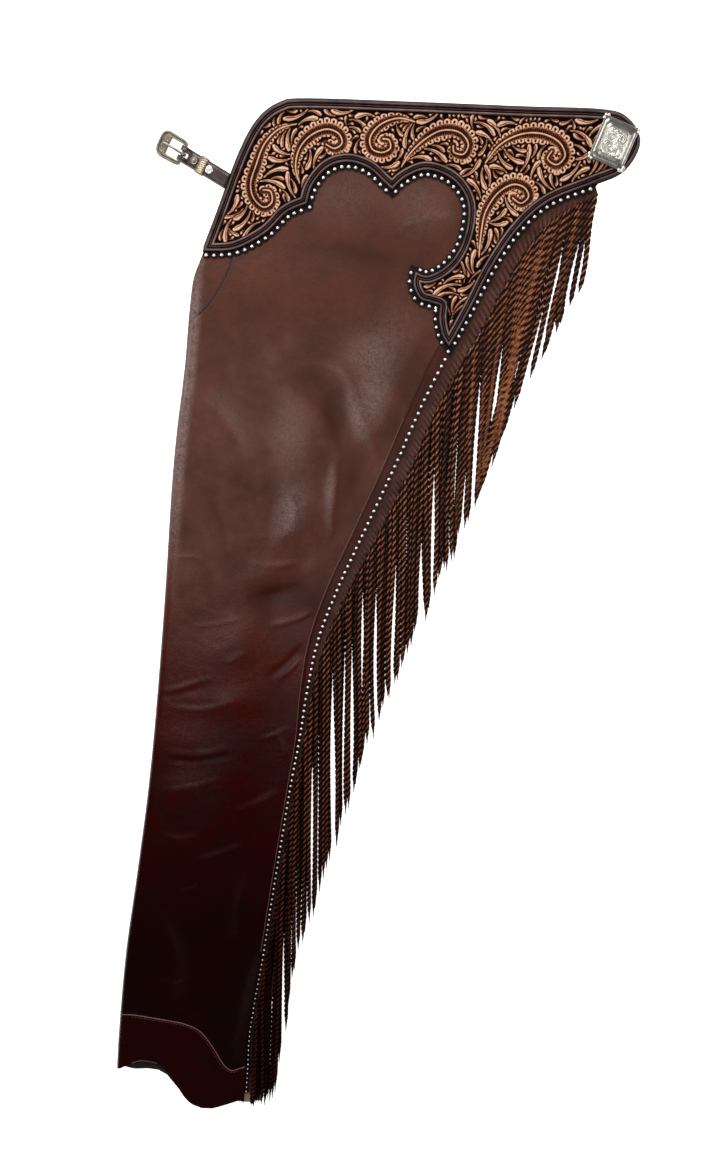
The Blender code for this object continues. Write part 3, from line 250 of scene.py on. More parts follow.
# ---- strap and buckle ----
BAR = Vector((-123.5, 471.1, 4.25))
STRAP_ANGLE = 150.4
STRAP_WIDTH = 12.4
BAR_HALF = 0.9
LOOP_RADIUS = 2.35
LOWER_LAYER = 1.9
UPPER_LAYER = 3.7
BUCKLE_TILT = 7.3
FRAME_LENGTH = 21.9
FRAME_WIDTH = 21.0
FRAME_THICKNESS = 2.0
WINDOW = (1.3, 13.4, 6.75)
SCREWS = ((10.2, 5.8), (24.0, 6.5))
SCREW_HEIGHT = 1.3
KEEPER = (14.0, 20.6)
KEEPER_WALL = 0.75

TONGUE_RADIUS = (1.6, 2.6)
TONGUE_WIDTH = 2.4
TONGUE_REACH = 17.8

# ---- concho ----
CONCHO_CENTRE = (225.3, 478.7)
CONCHO_SIZE = (28.5, 31.5)
CONCHO_TURN = -21.0
CONCHO_THICKNESS = 1.8
BEAD = 2.8

AWAY = Vector((math.cos(math.radians(STRAP_ANGLE)), math.sin(math.radians(STRAP_ANGLE)), 0.0))
ACROSS = Vector((0.0, 0.0, 1.0)).cross(AWAY) * -1.0


# ============================ curves and outlines ============================

def smoothstep(low, high, value):
    """0 below low, 1 above high, and a soft step between them."""
    t = np.clip((value - low) / (high - low), 0.0, 1.0)
    return t * t * (3.0 - 2.0 * t)


def through_rows(rows, column, y):
    """A column's value at height y, on a smooth curve through rows of falling y."""
    heights = [row.y for row in rows]
    values = [getattr(row, column) for row in rows]
    last = len(rows) - 1
    if y >= heights[0]:
        return values[0]
    if y <= heights[last]:
        return values[last]
    k = next(i for i in range(last) if heights[i] >= y >= heights[i + 1])

    def slope(i):
        a, b = max(i - 1, 0), min(i + 1, last)
        return (values[b] - values[a]) / (heights[b] - heights[a])

    span = heights[k + 1] - heights[k]
    t = (y - heights[k]) / span
    start, end = slope(k) * span, slope(k + 1) * span
    return (values[k] * (2 * t**3 - 3 * t**2 + 1) + start * (t**3 - 2 * t**2 + t)
            + values[k + 1] * (3 * t**2 - 2 * t**3) + end * (t**3 - t**2))


def curve(points, step, closed=False):
    """Points about a step apart on a smooth curve through the given points."""
    count = len(points)
    result = []
    for i in range(count if closed else count - 1):
        before = points[(i - 1) % count] if closed or i > 0 else points[0]
        a, b = points[i], points[(i + 1) % count]
        after = points[(i + 2) % count] if closed or i + 2 < count else points[-1]
        pieces = max(1, round(math.dist(a, b) / step))
        for j in range(pieces):
            t = j / pieces
            result.append(tuple(
                0.5 * (2 * a[c] + (b[c] - before[c]) * t
                       + (2 * before[c] - 5 * a[c] + 4 * b[c] - after[c]) * t**2
                       + (3 * a[c] - before[c] - 3 * b[c] + after[c]) * t**3)
                for c in (0, 1)))
    if not closed:
        result.append(tuple(points[-1][:2]))
    return result


def edge_loop(rows, step):
    """A closed outline: smooth between its corners."""
    points = []
    corners = [i for i, row in enumerate(rows) if row.corner]
    for start, end in zip(corners, corners[1:] + [corners[0] + len(rows)]):
        stretch = [rows[i % len(rows)][:2] for i in range(start, end + 1)]
        points += curve(stretch, step)[:-1]
    return points


def line_length(points):
    return sum(math.dist(a, b) for a, b in zip(points, points[1:]))


def resampled(points, step):
    """The same open line with points an even step apart."""
    total = line_length(points)
    count = max(2, round(total / step) + 1)
    result, walked, k = [], 0.0, 0
    for i in range(count):
        target = total * i / (count - 1)
        while k < len(points) - 2 and walked + math.dist(points[k], points[k + 1]) < target:
            walked += math.dist(points[k], points[k + 1])
            k += 1
        a, b = points[k], points[k + 1]
        t = (target - walked) / max(math.dist(a, b), 1e-9)
        result.append((a[0] + (b[0] - a[0]) * t, a[1] + (b[1] - a[1]) * t))
    return result


def along_line(line, distance):
    """The point and the direction at a distance along a line."""
    for a, b in zip(line, line[1:]):
        length = math.dist(a, b)
        if distance <= length or b == line[-1]:
            t = distance / length
            direction = ((b[0] - a[0]) / length, (b[1] - a[1]) / length)
            return (a[0] + (b[0] - a[0]) * t, a[1] + (b[1] - a[1]) * t), direction
        distance -= length


def nearest(line, points, closed=False):
    """For many points: the distance to a line, how far along it the nearest place is,
    and whether the point lies to its left (1) or right (-1)."""
    line = np.asarray(line, float)
    points = np.asarray(points, float).reshape(-1, 2)
    ends = np.roll(line, -1, 0) if closed else line[1:]
    starts = line if closed else line[:-1]
    distance = np.full(len(points), 1e9)
    along = np.zeros(len(points))
    side = np.ones(len(points))
    walked = 0.0
    for (sx, sy), (ex, ey) in zip(starts, ends):
        dx, dy = ex - sx, ey - sy
        length = max(math.hypot(dx, dy), 1e-9)
        rx, ry = points[:, 0] - sx, points[:, 1] - sy
        t = np.clip((rx * dx + ry * dy) / length**2, 0.0, 1.0)
        here = np.hypot(rx - t * dx, ry - t * dy)
        closer = here < distance
        distance[closer] = here[closer]
        along[closer] = walked + t[closer] * length
        side[closer] = np.where(dx * ry - dy * rx >= 0, 1.0, -1.0)[closer]
        walked += length
    return distance, along, side


def from_outline(outline, x, y):
    """The distance of many places to a closed outline."""
    return nearest(outline, np.column_stack([x, y]), True)[0]


def normal_at(line, k):
    """The unit normal on the left of a line at its point k."""
    a, b = line[max(k - 1, 0)], line[min(k + 1, len(line) - 1)]
    size = max(math.dist(a, b), 1e-9)
    return (a[1] - b[1]) / size, (b[0] - a[0]) / size


def inside_many(loop, points):
    """Whether each point lies inside a closed outline."""
    points = np.asarray(points, float).reshape(-1, 2)
    x, y = points[:, 0], points[:, 1]
    odd = np.zeros(len(points), bool)
    for (ax, ay), (bx, by) in zip(loop, list(loop[1:]) + [loop[0]]):
        if ay == by:
            continue
        crosses = ((ay > y) != (by > y)) & (x < ax + (y - ay) / (by - ay) * (bx - ax))
        odd ^= crosses
    return odd


def moved_out(points, distance, closed=True):
    """A line moved sideways, to the right of its direction. Round a counterclockwise
    outline that is outwards. distance may be a number or one number for each point."""
    count = len(points)
    each = distance if isinstance(distance, (list, tuple)) else [distance] * count
    result = []
    for i in range(count):
        before = points[i - 1] if closed or i > 0 else None
        after = points[(i + 1) % count] if closed or i < count - 1 else None
        normals = []
        for a, b in ((before, points[i]), (points[i], after)):
            if a is not None and b is not None:
                length = math.dist(a, b)
                normals.append(((b[1] - a[1]) / length, (a[0] - b[0]) / length))
        nx = sum(n[0] for n in normals)
        ny = sum(n[1] for n in normals)
        size = math.hypot(nx, ny)
        stretch = min(len(normals) / size, 1.9)
        result.append((points[i][0] + nx / size * stretch * each[i],
                       points[i][1] + ny / size * stretch * each[i]))
    if not closed:
        return result
    distances = nearest(points, result, True)[0]
    clear = [p for p, far, d in zip(result, distances, each) if far > abs(d) - 0.12]
    return [p for i, p in enumerate(clear) if math.dist(p, clear[i - 1]) > 0.3]


# ============================ how the leg lies ============================

TABLE_Y = np.arange(-530.0, 531.0, 0.5)
FOLD_TABLE = np.array([through_rows(FOLD_ROWS, "x", y) for y in TABLE_Y])
SIDE_TABLE = np.array([through_rows(SIDE_ROWS, "x", y) for y in TABLE_Y])


def fold_x(y):
    return np.interp(y, TABLE_Y, FOLD_TABLE)


def side_x(y):
    return np.interp(y, TABLE_Y, SIDE_TABLE)


def rise(y):
    """1 over the leg, 0 where the front lies on the floor."""
    return 1.0 - smoothstep(FULL_BELOW, FLAT_ABOVE, y)


def fold_radius(y):
    return HALF + rise(y) * (FOLD_RADIUS - HALF)


def crown_x(y):
    """Where the front starts to turn under."""
    return fold_x(y) + fold_radius(y)


def soft_patch(patch, x, y):
    """1 in the middle of a turned oval patch, fading softly to 0 round it."""
    turn = math.radians(patch.angle)
    along = (x - patch.x) * math.cos(turn) + (y - patch.y) * math.sin(turn)
    across = (y - patch.y) * math.cos(turn) - (x - patch.x) * math.sin(turn)
    return np.exp(-(along / patch.length)**2 - (across / patch.width)**2)


def soft_folds(x, y):
    height = 0.0
    for fold in SOFT_FOLDS:
        height = height + fold.height * soft_patch(fold, x, y)
    return height


def sheet_height(x, y):
    """Height of the middle of the front's leather, carried on past its edges."""
    start, end = crown_x(y), side_x(y) - SIDE_FLAT
    q = np.clip((x - start) / (end - start), 0.0, 1.0)
    crown = 2 * FOLD_RADIUS - HALF
    height = crown + (SIDE_HEIGHT - crown) * smoothstep(0, 1, q)
    height = height + (SWELL + soft_folds(x, y)) * np.sin(math.pi * q)**2
    return HALF + rise(y) * (height - HALF)


def crease_height(creases, x, y):
    """Sum of the creases: each is soft across, uneven along and fades at its ends."""
    points = np.column_stack([x, y])
    height = np.zeros(len(points))
    for number, crease in enumerate(creases):
        line = curve(crease.line, 4.0)
        length = line_length(line)
        low = np.min(line, 0) - 3 * crease.width
        high = np.max(line, 0) + 3 * crease.width
        near = np.all((points > low) & (points < high), axis=1)
        if not near.any():
            continue
        distance, along, side = nearest(line, points[near])
        t = along / length
        uneven = 0.8 + 0.2 * np.sin(t * (7.0 + number % 4) + number * 1.7)
        width = crease.width * (1.0 + 0.35 * side * (1 if number % 2 else -1))
        fade = np.sin(math.pi * np.clip(t, 0.0, 1.0))**0.7
        height[near] += crease.height * uneven * fade * np.exp(-(distance / width)**2)
    return height


def leg_point(v, y, lift):
    """Points of the front, at a height over the middle of its leather."""
    crown = crown_x(y)
    radius = np.maximum(fold_radius(y) - HALF, 0.01)
    angle = -v / radius
    reach = radius + lift
    on_top_z = sheet_height(crown + v, y) + lift
    x = np.where(v >= 0, crown + v, np.where(angle <= math.pi, crown - reach * np.sin(angle),
                                             crown - v - math.pi * radius))
    z = np.where(v >= 0, on_top_z, np.where(angle <= math.pi,
                                            fold_radius(y) + reach * np.cos(angle), HALF - lift))
    return np.column_stack([x, y, z])


def yoke_point(x, y, lift):
    """Points of the yoke, at a height over the underside of its underlay."""
    return np.column_stack([x, y, sheet_height(x, y) + HALF + GAP + lift])


def flat_point(x, y, height):
    return np.column_stack([x, y, height])


def on_fold(y, turn):
    """v on the fold: turn is 0 at the crown, 0.5 at the outermost line, 1 underneath."""
    return -math.pi * (fold_radius(y) - HALF) * turn


def on_lip(y):
    """v at the end of the turned-under lip."""
    return on_fold(y, 1) - LIP


def on_top(points):
    """(x, y) points of the front's top as (v, y)."""
    return [(x - crown_x(y), y) for x, y in points]


def side_line():
    """The side line as dense points, from the yoke's end down to the hem."""
    top, bottom = SIDE_ROWS[0].y, SIDE_ROWS[-1].y
    count = 1200
    fine = [(side_x(top + (bottom - top) * i / count), top + (bottom - top) * i / count)
            for i in range(count + 1)]
    return resampled(fine, 4.0)


SIDE_LINE = side_line()


def side_stretch(top, bottom):
    """The side line between two heights, with points exactly there."""
    middle = [p for p in SIDE_LINE if bottom + 1.0 < p[1] < top - 1.0]
    return [(side_x(top), top)] + middle + [(side_x(bottom), bottom)]


def beside(line, distance):
    """A stretch of the side line moved outwards; distance is a number or a function of y."""
    if callable(distance):
        distance = [distance(y) for _, y in line]
    if isinstance(distance, (int, float)):
        distance = [distance] * len(line)
    return moved_out(line, [-d for d in distance], closed=False)


# ============================ meshes ============================


def add_mesh(name, vertices, faces, materials, face_materials=None, sharp_above=40.0):
    """One object from a mesh in millimetres."""
    mesh = bpy.data.meshes.new(name)
    mesh.from_pydata((np.asarray(vertices) * MM).tolist(), [], faces)
    for material in materials:
        mesh.materials.append(material)
    if face_materials is not None:
        last = len(materials) - 1
        mesh.polygons.foreach_set("material_index", np.minimum(face_materials, last))
    mesh.shade_smooth()
    mesh.set_sharp_from_angle(angle=math.radians(sharp_above))
    piece = bpy.data.objects.new(name, mesh)
    bpy.context.scene.collection.objects.link(piece)
    return piece


def set_values(piece, name, values):
    """One number for each vertex, for a material to read."""
    attribute = piece.data.attributes.new(name, "FLOAT", "POINT")
    attribute.data.foreach_set("value", np.asarray(values, np.float32))


def set_plate_values(piece, name, upper, lower_face, lower=0.0):
    """A plate's numbers: one for each point of its upper face, and one for all below."""
    set_values(piece, name, np.concatenate([upper, np.full(len(lower_face), lower)]))


def turned_area(points, triangle):
    """Twice a triangle's area, negative if it runs clockwise."""
    (ax, ay), (bx, by), (cx, cy) = (points[i] for i in triangle)
    return (bx - ax) * (cy - ay) - (cx - ax) * (by - ay)


def enclosed(points, triangles, loops):
    """The triangles inside the first loop and outside the others, found by regions so
    that a sliver goes with its neighbours."""
    walls, first = set(), 0
    for loop in loops:
        for i in range(len(loop)):
            a, b = first + i, first + (i + 1) % len(loop)
            walls.add((min(a, b), max(a, b)))
        first += len(loop)
    sides = [((min(a, b), max(a, b)), (min(b, c), max(b, c)), (min(c, a), max(c, a)))
             for a, b, c in triangles]
    owners = {}
    for number, edges in enumerate(sides):
        for edge in edges:
            owners.setdefault(edge, []).append(number)
    kept = []
    seen = bytearray(len(triangles))
    for seed in range(len(triangles)):
        if seen[seed]:
            continue
        seen[seed] = 1
        region, queue, open_ended = [], [seed], False
        while queue:
            number = queue.pop()
            region.append(number)
            for edge in sides[number]:
                if edge in walls:
                    continue
                open_ended = open_ended or len(owners[edge]) == 1
                for other in owners[edge]:
                    if not seen[other]:
                        seen[other] = 1
                        queue.append(other)
        if open_ended:
            continue
        sample = region if len(region) < 400 else region[:400]
        largest = max(sample, key=lambda n: abs(turned_area(points, triangles[n])))
        middle = [[sum(points[i][c] for i in triangles[largest]) / 3 for c in (0, 1)]]
        if not any(inside_many(hole, middle)[0] for hole in loops[1:]):
            kept += [triangles[n] for n in region]
    return kept


def fill(loops, lines, extra):
    """Triangles inside the first loop and outside the others, through all the points.
    Returns the points and the triangles; the loops' points come first, in order."""
    points, edges = [], []
    for line, closed in [(loop, True) for loop in loops] + lines:
        first = len(points)
        points += [tuple(p) for p in line]
        edges += [(first + i, first + i + 1) for i in range(len(line) - 1)]
        if closed:
            edges.append((first + len(line) - 1, first))
    points += [tuple(p) for p in extra]
    out, _, found, sources, _, _ = delaunay_2d_cdt([Vector(p) for p in points], edges, [], 0,
                                                   1e-7, True)
    if any(not source for source in sources) or len(out) != len(points):
        raise ValueError("outlines cross")
    triangles = [tuple(sources[i][0] for i in triangle) for triangle in found]
    return points, [t if turned_area(points, t) > 0 else t[::-1]
                    for t in enclosed(points, triangles, loops)]


def clear_points(candidates, loops, lines, clearance):
    """The candidates inside the first loop and outside the others, clear of every line."""
    kept = np.asarray(candidates, float).reshape(-1, 2)
    if not len(kept):
        return kept
    kept = kept[inside_many(loops[0], kept)]
    for hole in loops[1:]:
        kept = kept[~inside_many(hole, kept)]
    for line, closed in [(loop, True) for loop in loops] + lines:
        kept = kept[nearest(line, kept, closed)[0] > clearance]
    return kept


def plan_grid(left, bottom, right, top, spacing):
    """Points a spacing apart in staggered rows over a box."""
    row = spacing * ROW_STEP
    rows, columns = int((top - bottom) / row) + 1, int((right - left) / spacing) + 1
    i, j = np.meshgrid(np.arange(columns), np.arange(rows))
    x = left + (i + 0.5 * (j % 2)) * spacing
    return np.column_stack([x.ravel(), (bottom + j * row).ravel()])


def box_grid(outline, spacing):
    """A plan grid over an outline's box."""
    low, high = np.min(outline, 0), np.max(outline, 0)
    return plan_grid(low[0], low[1], high[0], high[1], spacing)


def plate(name, outline, place, under, over, materials, holes=(), lines=(), grid=(),
          under_grid=None, clearance=1.0, sharp_above=40.0):
    """A closed sheet between two heights. outline and holes run counterclockwise in plan,
    place(x, y, height) lays points, over is a height or a function of x and y, lines are
    (points, closed) that the upper face follows, and grid holds more of its points."""
    loops = [outline, *holes]
    grid = clear_points(grid, loops, list(lines), clearance)
    top, top_faces = fill(loops, list(lines), grid)
    if under_grid is None and not lines:
        bottom, bottom_faces = top, top_faces
    else:
        under_grid = grid if under_grid is None else clear_points(under_grid, loops, [], clearance)
        bottom, bottom_faces = fill(loops, [], under_grid)
    top_xy, bottom_xy = np.array(top), np.array(bottom)
    heights = over(top_xy[:, 0], top_xy[:, 1]) if callable(over) else np.full(len(top), over)
    low = (under(bottom_xy[:, 0], bottom_xy[:, 1]) if callable(under)
           else np.full(len(bottom), under))
    vertices = np.vstack([place(top_xy[:, 0], top_xy[:, 1], heights),
                          place(bottom_xy[:, 0], bottom_xy[:, 1], low)])
    first = len(top)
    faces = list(top_faces) + [(first + c, first + b, first + a) for a, b, c in bottom_faces]
    sides = [0] * len(top_faces) + [1] * len(bottom_faces)
    start = 0
    for number, loop in enumerate(loops):
        for i in range(len(loop)):
            a, b = start + i, start + (i + 1) % len(loop)
            if number > 0:
                a, b = b, a
            faces.append((first + a, first + b, b, a))
            sides.append(2)
        start += len(loop)
    piece = add_mesh(name, vertices, faces, materials, sides, sharp_above)
    return piece, top_xy, bottom_xy


def swept(rings, closed=False, capped=True):
    """Faces and vertices of a tube through rings of the same number of points."""
    count = len(rings[0])
    vertices = [p for ring in rings for p in ring]
    faces = []
    for k in range(len(rings) - (0 if closed else 1)):
        a, b = k * count, (k + 1) % len(rings) * count
        faces += [(a + i, a + (i + 1) % count, b + (i + 1) % count, b + i)
                  for i in range(count)]
    if capped and not closed:
        faces.append(tuple(range(count))[::-1])
        last = (len(rings) - 1) * count
        faces.append(tuple(last + i for i in range(count)))
    return vertices, faces


class Parts:
    """Several closed meshes gathered into one."""

    def __init__(self):
        self.vertices, self.faces, self.values = [], [], []

    def add(self, vertices, faces, value=None):
        first = len(self.vertices)
        self.vertices += [tuple(v) for v in vertices]
        self.faces += [tuple(first + i for i in face) for face in faces]
        if value is not None:
            each = value if isinstance(value, (list, np.ndarray)) else [value] * len(vertices)
            self.values += list(each)

    def build(self, name, materials, sharp_above=40.0, value_name=None):
        piece = add_mesh(name, np.array(self.vertices), self.faces, materials,
                         sharp_above=sharp_above)
        if value_name:
            set_values(piece, value_name, self.values)
        return piece


# ============================ materials ============================

def new_material(name, roughness=0.5, metallic=0.0, specular=0.5, **sockets):
    """A material, with its node tree and its shader."""
    material = bpy.data.materials.new(name)
    material.use_nodes = True
    tree = material.node_tree
    shader = tree.nodes["Principled BSDF"]
    shader.inputs["Roughness"].default_value = roughness
    shader.inputs["Metallic"].default_value = metallic
    shader.inputs["Specular IOR Level"].default_value = specular
    for socket, value in sockets.items():
        shader.inputs[socket.replace("_", " ")].default_value = value
    return material, tree, shader


def node(tree, kind, inputs=(), **settings):
    """A node with its settings and inputs; an input is a value or another node's socket."""
    made = tree.nodes.new(kind)
    for name, value in settings.items():
        setattr(made, name, value)
    for key, value in dict(inputs).items():
        if isinstance(value, bpy.types.NodeSocket):
            tree.links.new(value, made.inputs[key])
        else:
            made.inputs[key].default_value = value
    return made


def wire(tree, shader, **sockets):
    """Joins sockets to the shader's inputs; an underscore stands for a space."""
    for name, socket in sockets.items():
        tree.links.new(socket, shader.inputs[name.replace("_", " ")])


def place_node(tree, scale=(1.0, 1.0, 1.0), turn=(0.0, 0.0, 0.0)):
    """Places on the object in metres, stretched and turned."""
    where = node(tree, "ShaderNodeTexCoord")
    mapping = node(tree, "ShaderNodeMapping", {"Vector": where.outputs["Object"],
                                               "Scale": scale, "Rotation": turn})
    return mapping.outputs["Vector"]


def noise(tree, vector, scale, detail=3.0, roughness=0.5):
    return node(tree, "ShaderNodeTexNoise", {"Vector": vector, "Scale": scale, "Detail": detail,
                                             "Roughness": roughness}).outputs["Fac"]


def ribs(tree, scale, distortion=0.0, turn=0.0):
    """Fine diagonal ribs, turned in plan."""
    where = place_node(tree, turn=(0.0, 0.0, turn))
    return node(tree, "ShaderNodeTexWave",
                {"Vector": where, "Scale": scale, "Distortion": distortion},
                wave_type="BANDS", bands_direction="DIAGONAL").outputs["Fac"]


def cells(tree, vector, scale, feature="F1", output="Distance"):
    return node(tree, "ShaderNodeTexVoronoi", {"Vector": vector, "Scale": scale},
                feature=feature).outputs[output]


def spread(tree, value, low, high, to_low=0.0, to_high=1.0):
    """A value stretched from one range to another and held inside it."""
    return node(tree, "ShaderNodeMapRange", {0: value, 1: low, 2: high, 3: to_low, 4: to_high},
                clamp=True).outputs[0]


def maths(tree, operation, a, b=0.0):
    return node(tree, "ShaderNodeMath", {0: a, 1: b}, operation=operation).outputs[0]


def ramp(tree, value, stops, easing="LINEAR"):
    """Colours at places between 0 and 1."""
    made = node(tree, "ShaderNodeValToRGB", {"Fac": value})
    made.color_ramp.interpolation = easing
    elements = made.color_ramp.elements
    while len(elements) < len(stops):
        elements.new(0.5)
    for element, (position, colour) in zip(elements, stops):
        element.position = position
        element.color = (*colour, 1.0)
    return made.outputs["Color"]


def mixed(tree, share, a, b, blend="MIX"):
    """Two colours mixed; each is a colour or a socket."""
    made = node(tree, "ShaderNodeMix", data_type="RGBA", blend_type=blend)
    for key, value in ((0, share), (6, a), (7, b)):
        if isinstance(value, bpy.types.NodeSocket):
            tree.links.new(value, made.inputs[key])
        else:
            made.inputs[key].default_value = (*value, 1.0) if isinstance(value, tuple) else value
    return made.outputs[2]


def bump(tree, height, depth, normal=None, strength=1.0):
    """A bump whose height from 0 to 1 stands for a depth in metres."""
    inputs = {"Height": height, "Distance": depth, "Strength": strength}
    if normal is not None:
        inputs["Normal"] = normal
    return node(tree, "ShaderNodeBump", inputs).outputs["Normal"]


def stored(tree, name):
    """A number that the mesh holds for each vertex."""
    return node(tree, "ShaderNodeAttribute", attribute_name=name).outputs["Fac"]


def height_up_leg(tree):
    """The place up the leg, from 0 at the hem to 1 at the waist."""
    where = node(tree, "ShaderNodeTexCoord")
    parts = node(tree, "ShaderNodeSeparateXYZ", {"Vector": where.outputs["Object"]})
    return spread(tree, parts.outputs["Y"], -0.51, 0.51)


def grain(tree, cell=0.0011, depth=0.00006, strength=1.0):
    """Leather grain: pebbles with fine creases between them."""
    here = place_node(tree)
    warp = node(tree, "ShaderNodeTexNoise", {"Vector": here, "Scale": 260.0, "Detail": 2.0})
    bent = node(tree, "ShaderNodeVectorMath", {0: here, 1: warp.outputs["Color"]},
                operation="ADD")
    scaled = node(tree, "ShaderNodeVectorMath", {0: warp.outputs["Color"], "Scale": cell * 0.9},
                  operation="SCALE")
    tree.links.new(scaled.outputs[0], bent.inputs[1])
    pebble = cells(tree, bent.outputs[0], 1.0 / cell, "SMOOTH_F1")
    fine = noise(tree, here, 2.6 / cell, 3.0)
    height = maths(tree, "ADD", maths(tree, "MULTIPLY", pebble, -0.8),
                   maths(tree, "MULTIPLY", fine, 0.5))
    return bump(tree, height, depth, strength=strength)


# the leg's colour from the hem (0) to the waist (1), darker towards the hem: a painted shade of the
# light falling off down the leg
LEG_PAINTED_FALLOFF = ((0.0, (0.0065, 0.0001, 0.0001)), (0.25, (0.0080, 0.0001, 0.0001)),
              (0.343, (0.0165, 0.0004, 0.0002)), (0.44, (0.0230, 0.0008, 0.0004)),
              (0.534, (0.046, 0.0042, 0.0014)), (0.665, (0.067, 0.0165, 0.0080)),
              (0.77, (0.074, 0.0220, 0.0130)), (0.86, (0.075, 0.0220, 0.0125)),
              (1.0, (0.086, 0.0280, 0.0200)))
# the grey of the painted sheen
LEG_PAINTED_SHEEN = (0.195, 0.128, 0.118)


def leather(name, painted_falloff, specular, roughness, variation=0.35, cell=0.0011, grain_depth=0.00006):
    """Smooth chap leather, darker towards the hem: a painted shade of the light falling off
    down the leg. It has random clouds, mottling and grain, and a vertex value called tone
    paints a sheen above 0 and a shade below."""
    material, tree, shader = new_material(name, roughness, specular=specular)
    up = height_up_leg(tree)
    base = ramp(tree, up, painted_falloff)
    here = place_node(tree)
    mottle = noise(tree, here, 26.0, 5.0, 0.62)
    small = noise(tree, here, 190.0, 4.0, 0.6)
    speck = noise(tree, here, 620.0, 3.0, 0.7)
    darker = mixed(tree, 1.0, base, (1.0 - variation,) * 3, "MULTIPLY")
    lighter = mixed(tree, 1.0, base, (1.0 + variation * 0.8,) * 3, "MULTIPLY")
    colour = mixed(tree, spread(tree, mottle, 0.38, 0.62), darker, lighter)
    colour = mixed(tree, spread(tree, small, 0.38, 0.66, 0.0, 0.3), colour, darker)
    colour = mixed(tree, spread(tree, speck, 0.4, 0.7, 0.0, 0.3), colour, lighter)
    tone = stored(tree, "tone")
    broken = maths(tree, "ADD", spread(tree, small, 0.35, 0.65, 0.5, 1.0),
                   spread(tree, speck, 0.35, 0.65, -0.3, 0.5))
    # painted sheen where tone is above 0, broken into specks and weaker towards the hem
    painted_sheen = maths(tree, "MULTIPLY", spread(tree, tone, 0.0, 1.5, 0.0, 0.95), broken)
    painted_sheen = maths(tree, "MULTIPLY", painted_sheen, spread(tree, up, 0.25, 0.72, 0.12, 1.0))
    colour = mixed(tree, painted_sheen, colour, LEG_PAINTED_SHEEN)
    # painted shade where tone is below 0
    colour = mixed(tree, spread(tree, tone, -1.0, 0.0, 0.9, 0.0), colour,
                   mixed(tree, 1.0, base, (0.50, 0.36, 0.25), "MULTIPLY"))
    smooth = maths(tree, "ADD", spread(tree, up, 0.38, 0.66, -0.14, 0.0),
                   spread(tree, tone, -0.5, 0.8, 0.08, -0.10))
    patchy = spread(tree, mottle, 0.38, 0.62, roughness + 0.08, roughness - 0.05)
    creases = noise(tree, place_node(tree, (1.0, 1.35, 1.0)), 30.0, 5.0, 0.6)
    wire(tree, shader, Base_Color=colour, Roughness=maths(tree, "ADD", patchy, smooth),
         Normal=bump(tree, creases, 0.0010, grain(tree, cell, grain_depth), 0.7))
    return material


def suede(name, colour):
    """The flesh side: dull, with a short uneven nap."""
    material, tree, shader = new_material(name, 0.92, specular=0.2, Sheen_Weight=0.25,
                                          Sheen_Roughness=0.5)
    here = place_node(tree)
    nap = noise(tree, here, 900.0, 4.0, 0.7)
    patch = noise(tree, here, 40.0, 4.0, 0.6)
    dark = tuple(c * 0.7 for c in colour)
    light = tuple(c * 1.3 for c in colour)
    shade = mixed(tree, spread(tree, patch, 0.3, 0.7), dark, light)
    shade = mixed(tree, spread(tree, nap, 0.3, 0.7, 0.0, 0.4), shade, light)
    wire(tree, shader, Base_Color=shade, Normal=bump(tree, nap, 0.00025))
    return material


def edge_leather(name, dark, light):
    """A cut edge: fibrous layers, sealed dark."""
    material, tree, shader = new_material(name, 0.7, specular=0.3)
    fibres = noise(tree, place_node(tree, (1.0, 1.0, 6.0)), 700.0, 4.0, 0.7)
    wire(tree, shader, Base_Color=ramp(tree, fibres, ((0.3, dark), (0.7, light))),
         Normal=bump(tree, fibres, 0.0002))
    return material


def finished_leather(name, dark, light, roughness=0.34, specular=0.5, coat=0.25, worn_sheen=None):
    """Dyed and burnished trim leather. A vertex value, where it is stored, lightens it towards a
    given colour: a painted highlight on the border's ridges and the header's pleats, and
    worn edges on the strap."""
    material, tree, shader = new_material(name, roughness, specular=specular, Coat_Weight=coat,
                                          Coat_Roughness=0.28)
    here = place_node(tree)
    patch = noise(tree, here, 60.0, 5.0, 0.65)
    colour = mixed(tree, spread(tree, patch, 0.3, 0.7), dark, light)
    if worn_sheen is not None:
        rub_and_sheen = maths(tree, "MULTIPLY", stored(tree, "wear_and_sheen"), spread(tree, patch, 0.3, 0.6, 0.4, 1.0))
        colour = mixed(tree, rub_and_sheen, colour, worn_sheen)
    uneven = spread(tree, noise(tree, here, 300.0), 0.3, 0.7, roughness - 0.05, roughness + 0.1)
    wire(tree, shader, Base_Color=colour, Roughness=uneven, Normal=grain(tree, 0.0007, 0.00004))
    return material


def tooled_material():
    """Carved and antiqued leather: tan on top, near black in the cuts."""
    material, tree, shader = new_material("tooled_leather", 0.42, specular=0.03)
    here = place_node(tree)
    tone = stored(tree, "tone")
    patch = noise(tree, here, 90.0, 4.0, 0.6)
    fine = noise(tree, here, 900.0, 3.0, 0.6)
    shifted = maths(tree, "ADD", tone, spread(tree, patch, 0.3, 0.7, -0.08, 0.08))
    colour = ramp(tree, shifted, ((0.0, (0.0020, 0.0010, 0.0010)), (0.24, (0.006, 0.002, 0.0014)),
                                  (0.45, (0.070, 0.018, 0.008)), (0.68, (0.26, 0.092, 0.043)),
                                  (0.86, (0.53, 0.26, 0.145)), (1.0, (0.78, 0.49, 0.33))))
    dirt = maths(tree, "MULTIPLY", spread(tree, fine, 0.35, 0.7, 0.0, 0.3),
                 spread(tree, tone, 0.3, 0.6))
    colour = mixed(tree, dirt, colour, (0.08, 0.024, 0.011))
    dots = cells(tree, here, 1500.0)
    matted = maths(tree, "MULTIPLY", dots, spread(tree, tone, 0.0, 0.3, 1.0, 0.15))
    wire(tree, shader, Base_Color=colour, Roughness=spread(tree, tone, 0.0, 1.0, 0.62, 0.36),
         Normal=bump(tree, matted, 0.00018, bump(tree, fine, 0.00005)))
    return material


